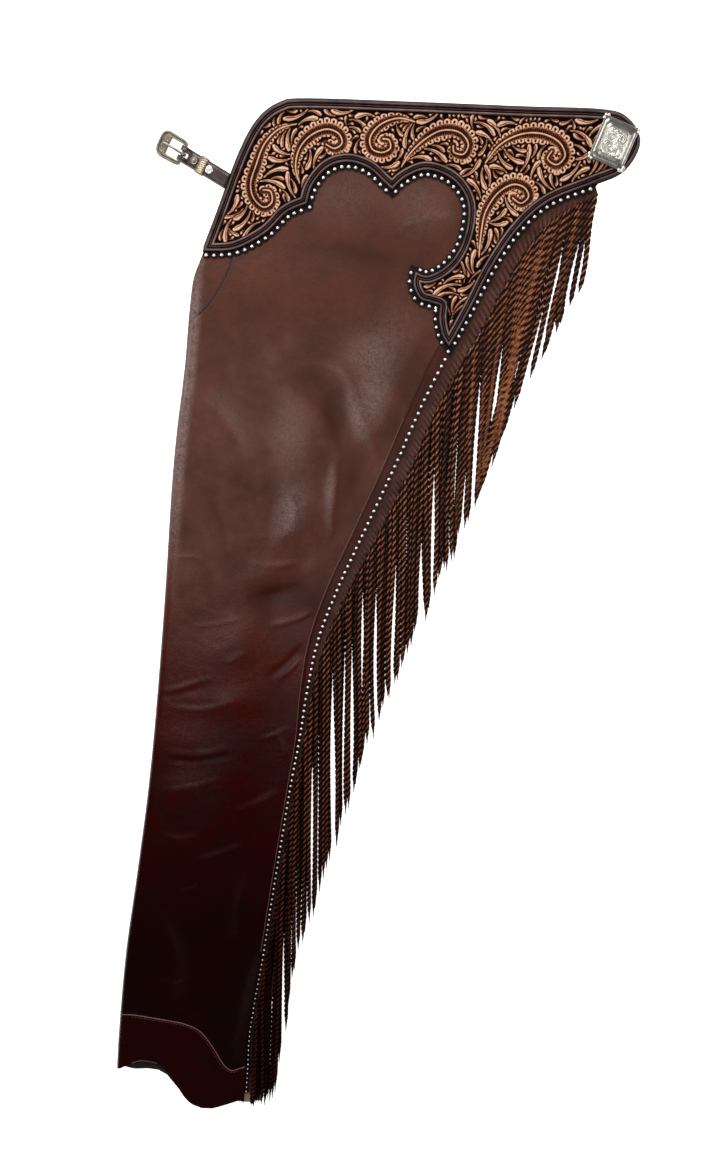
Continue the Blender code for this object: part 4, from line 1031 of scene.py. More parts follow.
def rope_material(name, bright):
    """Twisted thong: rust leather, lighter along each ply's crest as a painted highlight, brown
    beside it and black in the grooves between plies as painted shade.
    The whole part of the UV map's X tells how dark a strand is, from 0 to 3."""
    material, tree, shader = new_material(name, 0.46, specular=0.07)
    uv = node(tree, "ShaderNodeUVMap", uv_map="strand").outputs["UV"]
    parts = node(tree, "ShaderNodeSeparateXYZ", {"Vector": uv})
    round_strand = maths(tree, "FRACT", parts.outputs["X"])
    shade = spread(tree, maths(tree, "FLOOR", parts.outputs["X"]), 0.0, 3.0, 0.0, 0.75)
    in_ply = maths(tree, "FRACT", maths(tree, "MULTIPLY", round_strand, float(PLIES)))
    here = place_node(tree)
    streak = noise(tree, here, 420.0, 4.0, 0.65)
    patch = noise(tree, here, 38.0, 3.0)
    light = mixed(tree, spread(tree, patch, 0.36, 0.62), tuple(c * 0.6 for c in bright), bright)
    light = mixed(tree, spread(tree, streak, 0.45, 0.7), light, (0.56, 0.23, 0.12))
    brown = mixed(tree, spread(tree, streak, 0.3, 0.7), (0.007, 0.0020, 0.0015),
                  (0.030, 0.0075, 0.0045))
    # each ply lighter at its crest, a painted highlight, and black at its grooves, a painted shade
    crest = maths(tree, "ABSOLUTE", maths(tree, "SUBTRACT", in_ply, 0.52))
    colour = mixed(tree, spread(tree, crest, 0.13, 0.27), light, brown)
    colour = mixed(tree, spread(tree, crest, 0.30, 0.42), colour, (0.0018, 0.0008, 0.0007))
    colour = mixed(tree, shade, colour, (0.006, 0.0016, 0.0012))
    # near black on the strand's flanks and underside: a painted shade
    colour = mixed(tree, spread(tree, stored(tree, "flank_shade"), 0.40, 0.78), colour,
                   (0.0018, 0.0008, 0.0007))
    # darker and redder towards the bottom: a painted shade of the light falling off down the leg
    falloff_shade = spread(tree, height_up_leg(tree), 0.14, 0.78)
    colour = mixed(tree, falloff_shade, mixed(tree, 1.0, colour, (0.19, 0.085, 0.11), "MULTIPLY"), colour)
    wire(tree, shader, Base_Color=colour, Roughness=spread(tree, streak, 0.3, 0.7, 0.34, 0.55),
         Normal=bump(tree, streak, 0.00025))
    return material


def silver_material(name, tint=(0.86, 0.84, 0.79), roughness=0.22, carved=False):
    """Silver with soft scratches, and tarnish kept in its cuts where it is carved."""
    material, tree, shader = new_material(name, roughness, metallic=1.0)
    here = place_node(tree)
    cloud = noise(tree, here, 120.0, 4.0, 0.6)
    scratch = noise(tree, place_node(tree, (1.0, 9.0, 1.0), (0.0, 0.0, 0.6)), 900.0, 2.0)
    colour = mixed(tree, spread(tree, cloud, 0.3, 0.75), tint, tuple(c * 0.78 for c in tint))
    if carved:
        cuts = spread(tree, stored(tree, "tone"), 0.0, 0.75)
        colour = mixed(tree, cuts, (0.055, 0.048, 0.040), colour)
    worn_sheen = spread(tree, maths(tree, "ADD", cloud, scratch), 0.7, 1.3, roughness - 0.06,
                  roughness + 0.16)
    wire(tree, shader, Base_Color=colour, Roughness=worn_sheen, Normal=bump(tree, scratch, 0.00002))
    return material


def dark_metal(name, colour, roughness):
    material, tree, shader = new_material(name, roughness, metallic=1.0)
    here = place_node(tree)
    cloud = noise(tree, here, 300.0, 4.0, 0.7)
    light = tuple(min(c * 1.8, 1.0) for c in colour)
    wire(tree, shader, Base_Color=mixed(tree, spread(tree, cloud, 0.3, 0.7), colour, light),
         Roughness=spread(tree, cloud, 0.3, 0.7, roughness - 0.08, roughness + 0.12),
         Normal=bump(tree, cloud, 0.00003))
    return material


def tape_material():
    """Zip tape: a fine herringbone weave."""
    material, tree, shader = new_material("zip_tape", 0.85, specular=0.25, Sheen_Weight=0.2)
    weave = maths(tree, "MULTIPLY", ribs(tree, 520.0, 0.6), ribs(tree, 520.0, turn=1.2))
    shade = ramp(tree, weave, ((0.0, (0.20, 0.13, 0.08)), (1.0, (0.47, 0.35, 0.23))))
    wire(tree, shader, Base_Color=shade, Normal=bump(tree, weave, 0.00015))
    return material


def thread_material(name, colour):
    """Waxed thread: fine diagonal twist."""
    material, tree, shader = new_material(name, 0.55, specular=0.4)
    twist = ribs(tree, 900.0, 1.0)
    wire(tree, shader, Base_Color=mixed(tree, twist, tuple(c * 0.6 for c in colour), colour),
         Normal=bump(tree, twist, 0.0001))
    return material


def make_materials():
    # the hem and the strip take the leg's painted falloff too, darker towards the hem
    hem_painted_falloff = tuple((p, (r * 1.25 + 0.006, g * 0.6, b * 0.7)) for p, (r, g, b) in LEG_PAINTED_FALLOFF)
    strip_painted_falloff = tuple((p, (r * 0.58, g * 0.44, b * 0.40)) for p, (r, g, b) in LEG_PAINTED_FALLOFF)
    return {
        "leg": leather("leg_leather", LEG_PAINTED_FALLOFF, 0.17, 0.36, 0.30, grain_depth=0.0001),
        "hem": leather("hem_leather", hem_painted_falloff, 0.16, 0.38),
        "strip": leather("strip_leather", strip_painted_falloff, 0.14, 0.42, 0.3),
        # near black: a guessed flesh-side colour, darkened as painted shade for the inside of the
        # leg
        "suede": suede("leg_flesh_side", (0.009, 0.0036, 0.0028)),
        "edge": edge_leather("cut_edge", (0.012, 0.004, 0.003), (0.05, 0.016, 0.010)),
        "raw": edge_leather("raw_edge", (0.10, 0.040, 0.028), (0.24, 0.12, 0.09)),
        "underlay": finished_leather("underlay_leather", (0.006, 0.0045, 0.004),
                                     (0.010, 0.006, 0.005), 0.6, 0.08, 0.0),
        "border": finished_leather("border_leather", (0.0035, 0.0012, 0.0010),
                                   (0.014, 0.0036, 0.0026), 0.28, 0.09, 0.0,
                                   worn_sheen=(0.27, 0.175, 0.165)),
        "tooled": tooled_material(),
        "header": finished_leather("header_leather", (0.020, 0.0062, 0.0042),
                                   (0.060, 0.020, 0.014), 0.42, 0.12, 0.0,
                                   worn_sheen=(0.13, 0.058, 0.045)),
        "strap": finished_leather("strap_leather", (0.016, 0.0065, 0.0055),
                                  (0.034, 0.013, 0.010), 0.36, 0.5, 0.2,
                                  worn_sheen=(0.16, 0.095, 0.075)),
        "rope": rope_material("fringe_leather", (0.38, 0.105, 0.036)),
        "silver": silver_material("silver", (0.34, 0.31, 0.25), 0.36),
        "carved": silver_material("carved_silver", (0.95, 0.91, 0.82), 0.28, carved=True),
        "antique": silver_material("antique_silver", (0.25, 0.215, 0.165), 0.36, carved=True),
        "gilt": silver_material("gilt_silver", (0.42, 0.35, 0.24), 0.34, carved=True),
        "spot": silver_material("spot_silver", (0.97, 0.96, 0.94), 0.34),
        "steel": dark_metal("steel", (0.19, 0.18, 0.155), 0.3),
        "teeth": dark_metal("zip_teeth", (0.20, 0.16, 0.11), 0.35),
        "black": dark_metal("black_metal", (0.018, 0.016, 0.015), 0.38),
        "tape": tape_material(),
        "thread": thread_material("hem_thread", (0.30, 0.19, 0.15)),
        "welt": thread_material("seam_welt", (0.008, 0.0022, 0.0016)),
        "dark_thread": thread_material("dark_thread", (0.085, 0.034, 0.027)),
    }


# ============================ the leg ============================

LEG_SPACING = 2.5
FOLD_SPACING = 1.7
FRONT_REACH = 330.0       # the grid runs this far over the front from the crown
CREASES_FROM = -14.0      # v past the crown where the creases start to show
COVER_FADE = 8.0          # creases fade out this far before what covers the leather


def leg_grid(bottom, top):
    """Points over the fold and the front between two heights."""
    rows = np.arange(bottom, top, LEG_SPACING * ROW_STEP)
    points = []
    for number, y in enumerate(rows):
        shift = 0.5 * (number % 2)
        start = on_lip(y)
        v = np.concatenate([np.arange(start + 0.8 + shift * FOLD_SPACING, -0.6, FOLD_SPACING),
                            np.arange(1.0 + shift * LEG_SPACING, FRONT_REACH, LEG_SPACING)])
        points.append(np.column_stack([v, np.full(len(v), y)]))
    return np.vstack(points)


def dense(outline, step):
    """The same closed outline with points no more than a step apart."""
    result = []
    for a, b in zip(outline, outline[1:] + outline[:1]):
        pieces = max(1, math.ceil(math.dist(a, b) / step))
        result += [(a[0] + (b[0] - a[0]) * i / pieces, a[1] + (b[1] - a[1]) * i / pieces)
                   for i in range(pieces)]
    return result


def seam_line(points, fold_height, lip_height):
    """A seam from the lip, over the fold and across the top, as (v, y)."""
    start = [(on_lip(lip_height), lip_height), (on_fold(fold_height, 0.5), fold_height)]
    return start + curve(on_top(points), 9.0)


def lip_heights():
    """Heights down the lip's edge between the seams, without the two seams."""
    count = round((THIGH_SEAM_LIP - HEM_SEAM_LIP) / 40.0)
    step = (THIGH_SEAM_LIP - HEM_SEAM_LIP) / count
    return [THIGH_SEAM_LIP - step * i for i in range(1, count)]


def front_edge(bottom, top):
    """Up the front's outer edge, from bottom to top, as (v, y)."""
    line = resampled(side_stretch(top, bottom), 14.0)
    return on_top(beside(line, -SEAM_INSET)[::-1])


def pinked_loop():
    """The underlay's outline: pinked below and behind, plain along the top."""
    edge = edge_loop(YOKE_EDGE, 2.0)
    start = min(range(len(edge)), key=lambda i: math.dist(edge[i], PINKED_FROM))
    edge = edge[start:] + edge[:start]
    end = min(range(len(edge)), key=lambda i: math.dist(edge[i], PINKED_TO))
    return edge[:end + 1], edge[end:] + edge[:1]


def open_leather(x, y):
    """1 where the front shows, fading to 0 beside and under what lies on it."""
    points = np.column_stack([x, y])
    pinked, plain = pinked_loop()
    loop = pinked + plain[1:-1]
    to_yoke = nearest(loop, points, True)[0] - PINK_PEAK
    to_yoke[inside_many(loop, points)] = -1.0
    strip = np.interp(y, [SIDE_ROWS[-1].y, -60.0, 100.0, 320.0], [3.0, 4.5, 9.6, 10.5])
    to_side = (side_x(y) - x) - strip - 2.0
    return smoothstep(0.0, COVER_FADE, to_yoke) * smoothstep(0.0, COVER_FADE, to_side)


def creased_leg_point(v, y, lift):
    """Points of the front with its creases; on the fold they follow its surface."""
    x = crown_x(y) + v
    fade = open_leather(x, y) * smoothstep(CREASES_FROM, 0.0, v)
    return leg_point(v, y, lift + crease_height(FRONT_CREASES, x, y) * fade)


def painted_light_tone(v, y):
    """Painted light on the leg's colour, a sheen above 0 and a shade below: its patches, a highlight
    along the fold, and its creases.
    """
    x = crown_x(y) + v
    tone = crease_height(FRONT_CREASES, x, y) * CREASE_PAINTED_LIGHT
    for cloud in LEG_PAINTED_PATCHES:
        tone = tone + cloud.amount * soft_patch(cloud, x, y)
    middle, width, amount = FOLD_PAINTED_HIGHLIGHT
    band = np.exp(-((v - middle) / width)**2) * smoothstep(*FOLD_HIGHLIGHT_ENDS, y)
    return tone + amount * band


def leg_shell(name, outline, bottom, top, materials):
    outline = dense(outline, LEG_SPACING * 1.2)
    piece, upper, lower = plate(name, outline, creased_leg_point, -HALF, HALF, materials,
                                grid=leg_grid(bottom, top), clearance=1.0)
    tone = painted_light_tone(upper[:, 0], upper[:, 1])
    set_plate_values(piece, "tone", tone, lower)
    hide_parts(name)
    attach(piece, "leg")
    return piece


def build_front(m):
    hem = seam_line(HEM_SEAM, HEM_SEAM_FOLD, HEM_SEAM_LIP)
    thigh = seam_line(THIGH_SEAM[::-1], THIGH_SEAM_FOLD, THIGH_SEAM_LIP)[::-1]
    outer = front_edge(HEM_SEAM[-1][1], 442.0)
    under_yoke = on_top(curve(FRONT_UNDER_YOKE, 16.0))
    lip = [(on_lip(y), y) for y in lip_heights()]
    outline = hem + outer + under_yoke + thigh + lip
    piece = leg_shell("front_panel", outline, -470.0, 505.0, [m["leg"], m["suede"], m["edge"]])


def build_inner_thigh(m):
    thigh = seam_line(THIGH_SEAM[::-1], THIGH_SEAM_FOLD, THIGH_SEAM_LIP)
    seam = moved_out(thigh, -GAP, closed=False)
    free_edge = [(on_fold(y, 0.5), y) for y in (396.0, 384.0, 371.0, CROTCH_FOLD)]
    corner = on_top([(-96.0, 403.0), (-107.0, 402.0)])
    crotch = [(on_lip(CROTCH_LIP), CROTCH_LIP)]
    outline = seam + corner + free_edge + crotch
    piece = leg_shell("inner_thigh_panel", outline, 320.0, 404.0,
                      [m["leg"], m["suede"], m["edge"]])


def build_hem_band(m):
    hem = seam_line(FRONT_HEM, FRONT_HEM_FOLD, FRONT_HEM_LIP)
    seam = seam_line(HEM_SEAM, HEM_SEAM_FOLD, HEM_SEAM_LIP)
    top = moved_out(seam, GAP, closed=False)[::-1]
    outer = front_edge(-503.5, HEM_SEAM[-1][1] - GAP)
    outline = hem + outer + top[1:]
    piece = leg_shell("hem_band", outline, -515.0, -370.0, [m["hem"], m["suede"], m["edge"]])


def build_back(m):
    heights = [THIGH_SEAM_LIP, *lip_heights(), HEM_SEAM_LIP]
    inner = [(crown_x(y) + LIP + GAP, y) for y in heights]
    top = curve([(side_x(ZIP_TOP) + BACK_EDGE, ZIP_TOP)] + BACK_TOP
                + [(crown_x(CROTCH_LIP) + LIP + GAP, CROTCH_LIP)], 30.0)
    hem_start = (crown_x(FRONT_HEM_LIP) + LIP + GAP, FRONT_HEM_LIP)
    hem = curve([hem_start] + BACK_HEM, 16.0)
    outer = beside(resampled(side_stretch(ZIP_TOP - 6, -488.0), 45.0), BACK_EDGE)[::-1]
    outline = dense(hem + outer + top + inner, 6.0)

    def place(x, y, height):
        lying = smoothstep(3.0, 14.0, from_outline(outline, x, y))
        return flat_point(x, y, height + crease_height(BACK_CREASES, x, y) * lying)

    piece, _, _ = plate("back_panel", outline, place, 0.0, LEG_LEATHER,
                        [m["suede"], m["leg"], m["edge"]], grid=box_grid(outline, 5.0),
                        clearance=2.0)
    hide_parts("back_panel")
    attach(piece, "leg")


# ============================ seams and trims ============================

def lay(parts, rings, place, clockwise=True):
    """Adds a closed tube through rings of (x, y, height), laid by place(x, y, height)."""
    vertices, faces = swept(rings)
    flat = np.array(vertices)
    if clockwise:
        faces = [face[::-1] for face in faces]
    parts.add(place(flat[:, 0], flat[:, 1], flat[:, 2]), faces)


def stitch_row(parts, line, place, pitch, length, width, height):
    """Short raised stitches along a line; place(x, y, height) lays them."""
    total = line_length(line)
    count = int(total / pitch)
    for i in range(count):
        middle = (i + 0.5) * total / count
        ends = [along_line(line, middle + offset)[0] for offset in (-length / 2, length / 2)]
        (ax, ay), (bx, by) = ends
        nx, ny = (ay - by) / length, (bx - ax) / length
        rings = []
        for t, size in ((0.0, 0.35), (0.25, 0.95), (0.75, 0.95), (1.0, 0.35)):
            cx, cy = ax + (bx - ax) * t, ay + (by - ay) * t
            ring = []
            for k in range(6):
                angle = math.pi * k / 3
                across = math.cos(angle) * width / 2 * size
                lift = max(math.sin(angle), -0.35) * height * size
                ring.append((cx + nx * across, cy + ny * across, lift))
            rings.append(ring)
        lay(parts, rings, place)


def front_surface(x, y, height):
    """Points at a height over the front's outer surface."""
    fade = open_leather(x, y)
    z = sheet_height(x, y) + crease_height(FRONT_CREASES, x, y) * fade + HALF + height
    return np.column_stack([x, y, z])


def surface_line(parts, line, place, width, height):
    """A low rounded bead along a line on a surface."""
    rings = []
    for k, (x, y) in enumerate(line):
        nx, ny = normal_at(line, k)
        rings.append([(x + nx * width / 2 * math.cos(angle), y + ny * width / 2 * math.cos(angle),
                       max(math.sin(angle), -0.4) * height)
                      for angle in (math.pi * i / 3 for i in range(6))])
    lay(parts, rings, place)


HEM_LINE_ROUND_FOLD = [(-9.0, -376.0), (-4.0, -375.0)]
HEM_LINE_END = (-107.6, -452.4)
HEM_EDGE_LINE = [(-231.0, -439.6), (-221.0, -436.4), (-209.6, -437.9), (-203.0, -440.6)]
STRIP_LINE = (255.0, -300.0)


def build_seams(m):
    """The raw upper edge of the hem band, its stitching, and the thigh seam's stitching."""
    def beside_fold(v, y, height):
        return creased_leg_point(v, y, HALF + height)
    hem = curve([(v + float(crown_x(y)), y) for v, y in HEM_LINE_ROUND_FOLD] + HEM_SEAM
                + [HEM_LINE_END], 3.0)
    edge = Parts()
    for line, width, height in ((moved_out(hem, 0.2, closed=False), 1.1, 0.42),
                                (HEM_EDGE_LINE, 0.6, 0.25)):
        flat = [(x - float(crown_x(y)), y) for x, y in curve(line, 3.0)]
        surface_line(edge, flat, beside_fold, width, height)
    strip_left = beside(resampled(side_stretch(*STRIP_LINE), 6.0),
                        lambda y: -through_rows(SIDE_ROWS, "strip", y) - 0.15)
    surface_line(edge, strip_left, front_surface, 0.6, 0.35)
    piece = edge.build("hem_seam_edge", [m["raw"]])
    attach(piece, "leg")
    stitches = Parts()
    stitch_row(stitches, moved_out(hem, 2.8, closed=False)[6:-3], front_surface, 3.2, 2.3, 0.6,
               0.28)
    piece = stitches.build("hem_stitches", [m["dark_thread"]])
    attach(piece, "leg")
    line = curve(THIGH_SEAM, 3.0)
    welt = Parts()
    surface_line(welt, moved_out(line, -0.15, closed=False), front_surface, 1.5, 0.35)
    piece = welt.build("thigh_seam_welt", [m["welt"]])
    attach(piece, "leg")
    thigh = Parts()
    stitch_row(thigh, moved_out(line, -2.6, closed=False)[:-2], front_surface, 3.2, 2.3, 0.6, 0.25)
    piece = thigh.build("thigh_seam_stitches", [m["dark_thread"]])
    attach(piece, "leg")


STRIP_TUCKED = 9.0        # how far the strip runs on under the yoke, pressed flat


def strip_profile(line, line_left, line_right):
    """Height over the strip's underside: an edge crease, a shallow crown and round edges."""
    def over(x, y):
        points = np.column_stack([x, y])
        from_left = nearest(line_left, points)[0]
        from_right = nearest(line_right, points)[0]
        height = STRIP - 0.45 * np.exp(-(from_left / 0.5)**2) - 0.35 * np.exp(-(from_right / 0.5)**2)
        height = height - 0.42 * np.exp(-((from_left - 2.0) / 0.45)**2)
        along = nearest(line, points)[1]
        return height * (1.0 - 0.5 * smoothstep(STRIP_TUCKED + 2.0, STRIP_TUCKED - 1.0, along))
    return over


def build_side_strip(m):
    top = STRIP_START + 3.5
    line = resampled(side_stretch(top, STRIP_END), 4.0)
    left = beside(line, lambda y: -through_rows(SIDE_ROWS, "strip", y))
    right = beside(line, STRIP_OVERHANG)
    inner = [moved_out(left, distance, closed=False)
             for distance in (-0.55, -1.45, -2.0, -2.55)]
    inner = [[p for p in stretch if p[1] < top - 3.0 and p[1] > STRIP_END + 1.0
              and (side_x(p[1]) - p[0]) > 0.8] for stretch in inner]
    piece, _, _ = plate("side_strip", right[::-1] + left, yoke_point, 0.0,
                        strip_profile(line, left, right), [m["strip"], m["suede"], m["edge"]],
                        lines=[(stretch, False) for stretch in inner if len(stretch) > 2],
                        grid=box_grid(left + right, 3.0), clearance=0.5, sharp_above=50.0)
    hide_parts("side_strip")
    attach(piece, "leg")


SPOT_RADIUS = 1.48
SPOT_HEIGHT = 1.05


def spot_places():
    """Where the nail-head spots sit: along the pinked edge and down the side line."""
    pinked, _ = pinked_loop()
    edge = resampled(pinked, PINK_PITCH / 2)
    rim = moved_out(edge, 2.5, closed=False)
    places = [(rim[i], UNDERLAY) for i in range(1, len(rim), 2)]
    start = STRIP_START - 4.5
    line = side_stretch(start - 2.0, STRIP_END + 3.0)
    count = round(line_length(line) / PINK_PITCH)
    places += [(point, STRIP) for point in resampled(line, line_length(line) / count)]
    return places


def build_spots(m):
    parts = Parts()
    rng = np.random.default_rng(SEED)
    profile = ((1.0, -0.12), (1.0, 0.16), (0.90, 0.42), (0.66, 0.74), (0.34, 0.94), (0.08, 1.0))
    sides = 14
    for (x, y), rest in spot_places():
        x += rng.uniform(-0.12, 0.12)
        y += rng.uniform(-0.12, 0.12)
        size = SPOT_RADIUS * (0.54 + 0.46 * float(smoothstep(-420.0, 60.0, y)))
        rings = [[(x + size * r * math.cos(2 * math.pi * i / sides),
                   y + size * r * math.sin(2 * math.pi * i / sides),
                   rest + SPOT_HEIGHT * h) for i in range(sides)] for r, h in profile]
        lay(parts, rings, yoke_point, clockwise=False)
    piece = parts.build("nail_head_spots", [m["spot"]], 50.0)
    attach(piece, "leg")


# ============================ the yoke ============================

BORDER_PROFILE = ((0.0, 2.7), (0.5, 3.35), (1.1, 3.75), (1.7, 3.85), (2.2, 3.6), (2.6, 3.1),
                  (2.95, 2.75), (3.3, 3.2), (3.9, 3.8), (4.3, 3.2), (4.6, 2.7), (4.85, 2.9),
                  (5.2, 3.85), (5.6, 4.25), (6.05, 4.2), (6.5, 3.8), (6.8, 3.2), (7.0, 2.9))
BORDER_LINES = (0.5, 1.1, 1.7, 2.2, 2.6, 2.95, 3.3, 3.9, 4.3, 4.6, 4.85, 5.2, 5.6, 6.05, 6.5)


def build_underlay(m):
    """The pinked underlay: round scallops, one behind each spot."""
    pinked, plain = pinked_loop()
    stations = resampled(pinked, PINK_PITCH / 8)
    reach = [PINK_VALLEY + (PINK_PEAK - PINK_VALLEY) * abs(math.sin(math.pi * i / 8))**0.6
             for i in range(len(stations))]
    rim = moved_out(stations, reach, closed=False)
    rest = moved_out(resampled(plain, 4.0), UNDERLAY_PEEK, closed=False)[1:-1]
    loop = rim + rest
    loop = [p for i, p in enumerate(loop) if math.dist(p, loop[i - 1]) > 0.25]
    loop = without_crossings(loop)

    def over(x, y):
        return UNDERLAY - 0.3 * np.exp(-(from_outline(loop, x, y) / 0.4)**2)
    piece, _, _ = plate("yoke_underlay", loop, yoke_point, 0.0, over,
                        [m["underlay"], m["suede"], m["edge"]], grid=box_grid(loop, 4.0),
                        clearance=0.7)
    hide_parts("yoke_underlay")
    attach(piece, "leg")


def without_crossings(loop):
    """An outline without the small knots that moving it out can tie at an inner corner."""
    points = list(loop)
    i = 0
    while i < len(points):
        a, b = points[i], points[(i + 1) % len(points)]
        for ahead in range(14, 1, -1):
            c, d = points[(i + ahead) % len(points)], points[(i + ahead + 1) % len(points)]
            place = crossing(a, b, c, d)
            if place is not None:
                drop = [(i + k) % len(points) for k in range(1, ahead + 1)]
                kept = [p for k, p in enumerate(points) if k not in drop]
                position = kept.index(a) + 1
                points = kept[:position] + [place] + kept[position:]
                break
        i += 1
    return points


def crossing(a, b, c, d):
    """Where two pieces of line cross, or None."""
    rx, ry = b[0] - a[0], b[1] - a[1]
    sx, sy = d[0] - c[0], d[1] - c[1]
    scale = rx * sy - ry * sx
    if abs(scale) < 1e-12:
        return None
    t = ((c[0] - a[0]) * sy - (c[1] - a[1]) * sx) / scale
    u = ((c[0] - a[0]) * ry - (c[1] - a[1]) * rx) / scale
    if 0 < t < 1 and 0 < u < 1:
        return (a[0] + rx * t, a[1] + ry * t)
    return None


def build_border(m):
    """The ring round the tooled field, with its ridges and grooves."""
    edge = edge_loop(YOKE_EDGE, 1.2)
    inner = moved_out(edge, -BORDER_WIDTH)
    stations, heights = zip(*BORDER_PROFILE)

    def over(x, y):
        return np.interp(from_outline(edge, x, y), stations, heights)
    grid = []
    for inset in BORDER_LINES:
        line = np.array(moved_out(edge, -inset))
        grid.append(line[nearest(edge, line, True)[0] > inset - 0.03])
    piece, top, bottom = plate("yoke_border", edge, yoke_point, YOKE_REST, over,
                               [m["border"], m["suede"], m["border"]], holes=[inner],
                               grid=np.vstack(grid), under_grid=(), clearance=0.15,
                               sharp_above=60.0)
    # the higher the ridge, the lighter: a painted highlight on the border's ridges
    wear_and_sheen = np.interp(over(top[:, 0], top[:, 1]), (3.35, 4.2), (0.0, 0.9))
    set_plate_values(piece, "wear_and_sheen", wear_and_sheen, bottom)
    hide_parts("yoke_border")
    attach(piece, "leg")


# ============================ carved leather and silver ============================

DRAWING_CELL = 0.25


class Drawing:
    """Heights and tones of a carved surface over a box, laid down one element on another.
    Tone is 1 on a polished top and 0 in a dark cut."""

    def __init__(self, box, cell, ground):
        self.left, self.bottom, right, top = box
        self.cell = cell
        self.ground = ground
        shape = (int((top - self.bottom) / cell) + 2, int((right - self.left) / cell) + 2)
        self.height = np.full(shape, float(ground))
        self.tone = np.zeros(shape)
        self.taken = np.zeros(shape, bool)

    def window(self, points, reach):
        """The cells within reach of some points, and the places of their middles."""
        low, high = np.min(points, 0) - reach, np.max(points, 0) + reach
        rows, columns = self.height.shape
        i0 = int(np.clip((low[0] - self.left) / self.cell, 0, columns - 2))
        i1 = int(np.clip((high[0] - self.left) / self.cell + 1, i0 + 1, columns))
        j0 = int(np.clip((low[1] - self.bottom) / self.cell, 0, rows - 2))
        j1 = int(np.clip((high[1] - self.bottom) / self.cell + 1, j0 + 1, rows))
        x, y = np.meshgrid(self.left + np.arange(i0, i1) * self.cell,
                           self.bottom + np.arange(j0, j1) * self.cell)
        return (slice(j0, j1), slice(i0, i1)), np.column_stack([x.ravel(), y.ravel()])

    def lay(self, window, edge, height, tone, cut=0.5):
        """Lay an element: edge is the distance inside its outline, and a cut runs round it."""
        shape = self.height[window].shape
        edge, height, tone = (a.reshape(shape) for a in (edge, height, tone))
        within, around = edge > 0, (edge <= 0) & (edge > -cut)
        self.height[window] = np.where(within, height, np.where(
            around, np.minimum(self.height[window], self.ground - 0.1), self.height[window]))
        self.tone[window] = np.where(within, tone, np.where(around, 0.0, self.tone[window]))
        self.taken[window] |= within | around

    def at(self, name, x, y):
        """Heights or tones at places, between the cells' middles."""
        values = getattr(self, name)
        i = np.clip((x - self.left) / self.cell, 0, values.shape[1] - 1.001)
        j = np.clip((y - self.bottom) / self.cell, 0, values.shape[0] - 1.001)
        i0, j0 = i.astype(int), j.astype(int)
        s, t = i - i0, j - j0
        lower = values[j0, i0] * (1 - s) + values[j0, i0 + 1] * s
        upper = values[j0 + 1, i0] * (1 - s) + values[j0 + 1, i0 + 1] * s
        return lower * (1 - t) + upper * t


FROND_WIDTHS = ((0.0, 0.45), (0.35, 0.85), (0.62, 1.15), (0.84, 1.65), (1.0, 1.15))


def draw_frond(drawing, line, size, curl, relief):
    """A tapered stroke that ends in a round knob with a dark eye."""
    line = curve(line, 1.2)
    stations, widths = zip(*FROND_WIDTHS)
    window, places = drawing.window(line, 3.0 * size)
    distance, along, side = nearest(line, places)
    t = along / line_length(line)
    half = np.interp(t, stations, widths) * size
    edge = half - distance
    height = drawing.ground + relief * (0.35 + 0.65 * smoothstep(0.0, 0.8, edge))
    tone = 0.42 + 0.58 * smoothstep(0.0, 0.45, edge)
    across = side * distance * curl
    eye = np.exp(-((across - 0.35 * half) / 0.24)**2) * smoothstep(0.55, 0.68, t)
    eye = eye * (1 - smoothstep(0.93, 1.0, t)) * (size > 0.75)
    groove = np.exp(-((across - 0.1 * half) / 0.2)**2) * smoothstep(0.04, 0.16, t)
    groove = groove * (1 - smoothstep(0.55, 0.72, t)) * 0.85
    dark = np.clip(eye + groove, 0.0, 1.0)
    drawing.lay(window, edge, height - 0.35 * relief * dark, tone * (1.0 - 0.85 * dark))


def rim_lengths(spine, widths, turn):
    """How far along its outer rim each point of a scroll's spine is."""
    rim = []
    for i, (x, y) in enumerate(spine):
        nx, ny = normal_at(spine, i)
        rim.append((x + nx * turn * widths[i], y + ny * turn * widths[i]))
    steps = [0.0] + [math.dist(a, b) for a, b in zip(rim, rim[1:])]
    return np.cumsum(steps)


# outer and inner half width of a scroll along its spine, as shares of its full widths
SCROLL_OUTER = ((0.0, 0.06), (0.12, 0.35), (0.35, 0.80), (0.60, 1.0), (0.85, 0.92), (1.0, 0.45))
SCROLL_INNER = ((0.0, 0.08), (0.15, 0.40), (0.45, 1.0), (0.75, 0.85), (1.0, 0.62))
RIM_PITCH = 6.4
HATCH_PITCH = 1.8


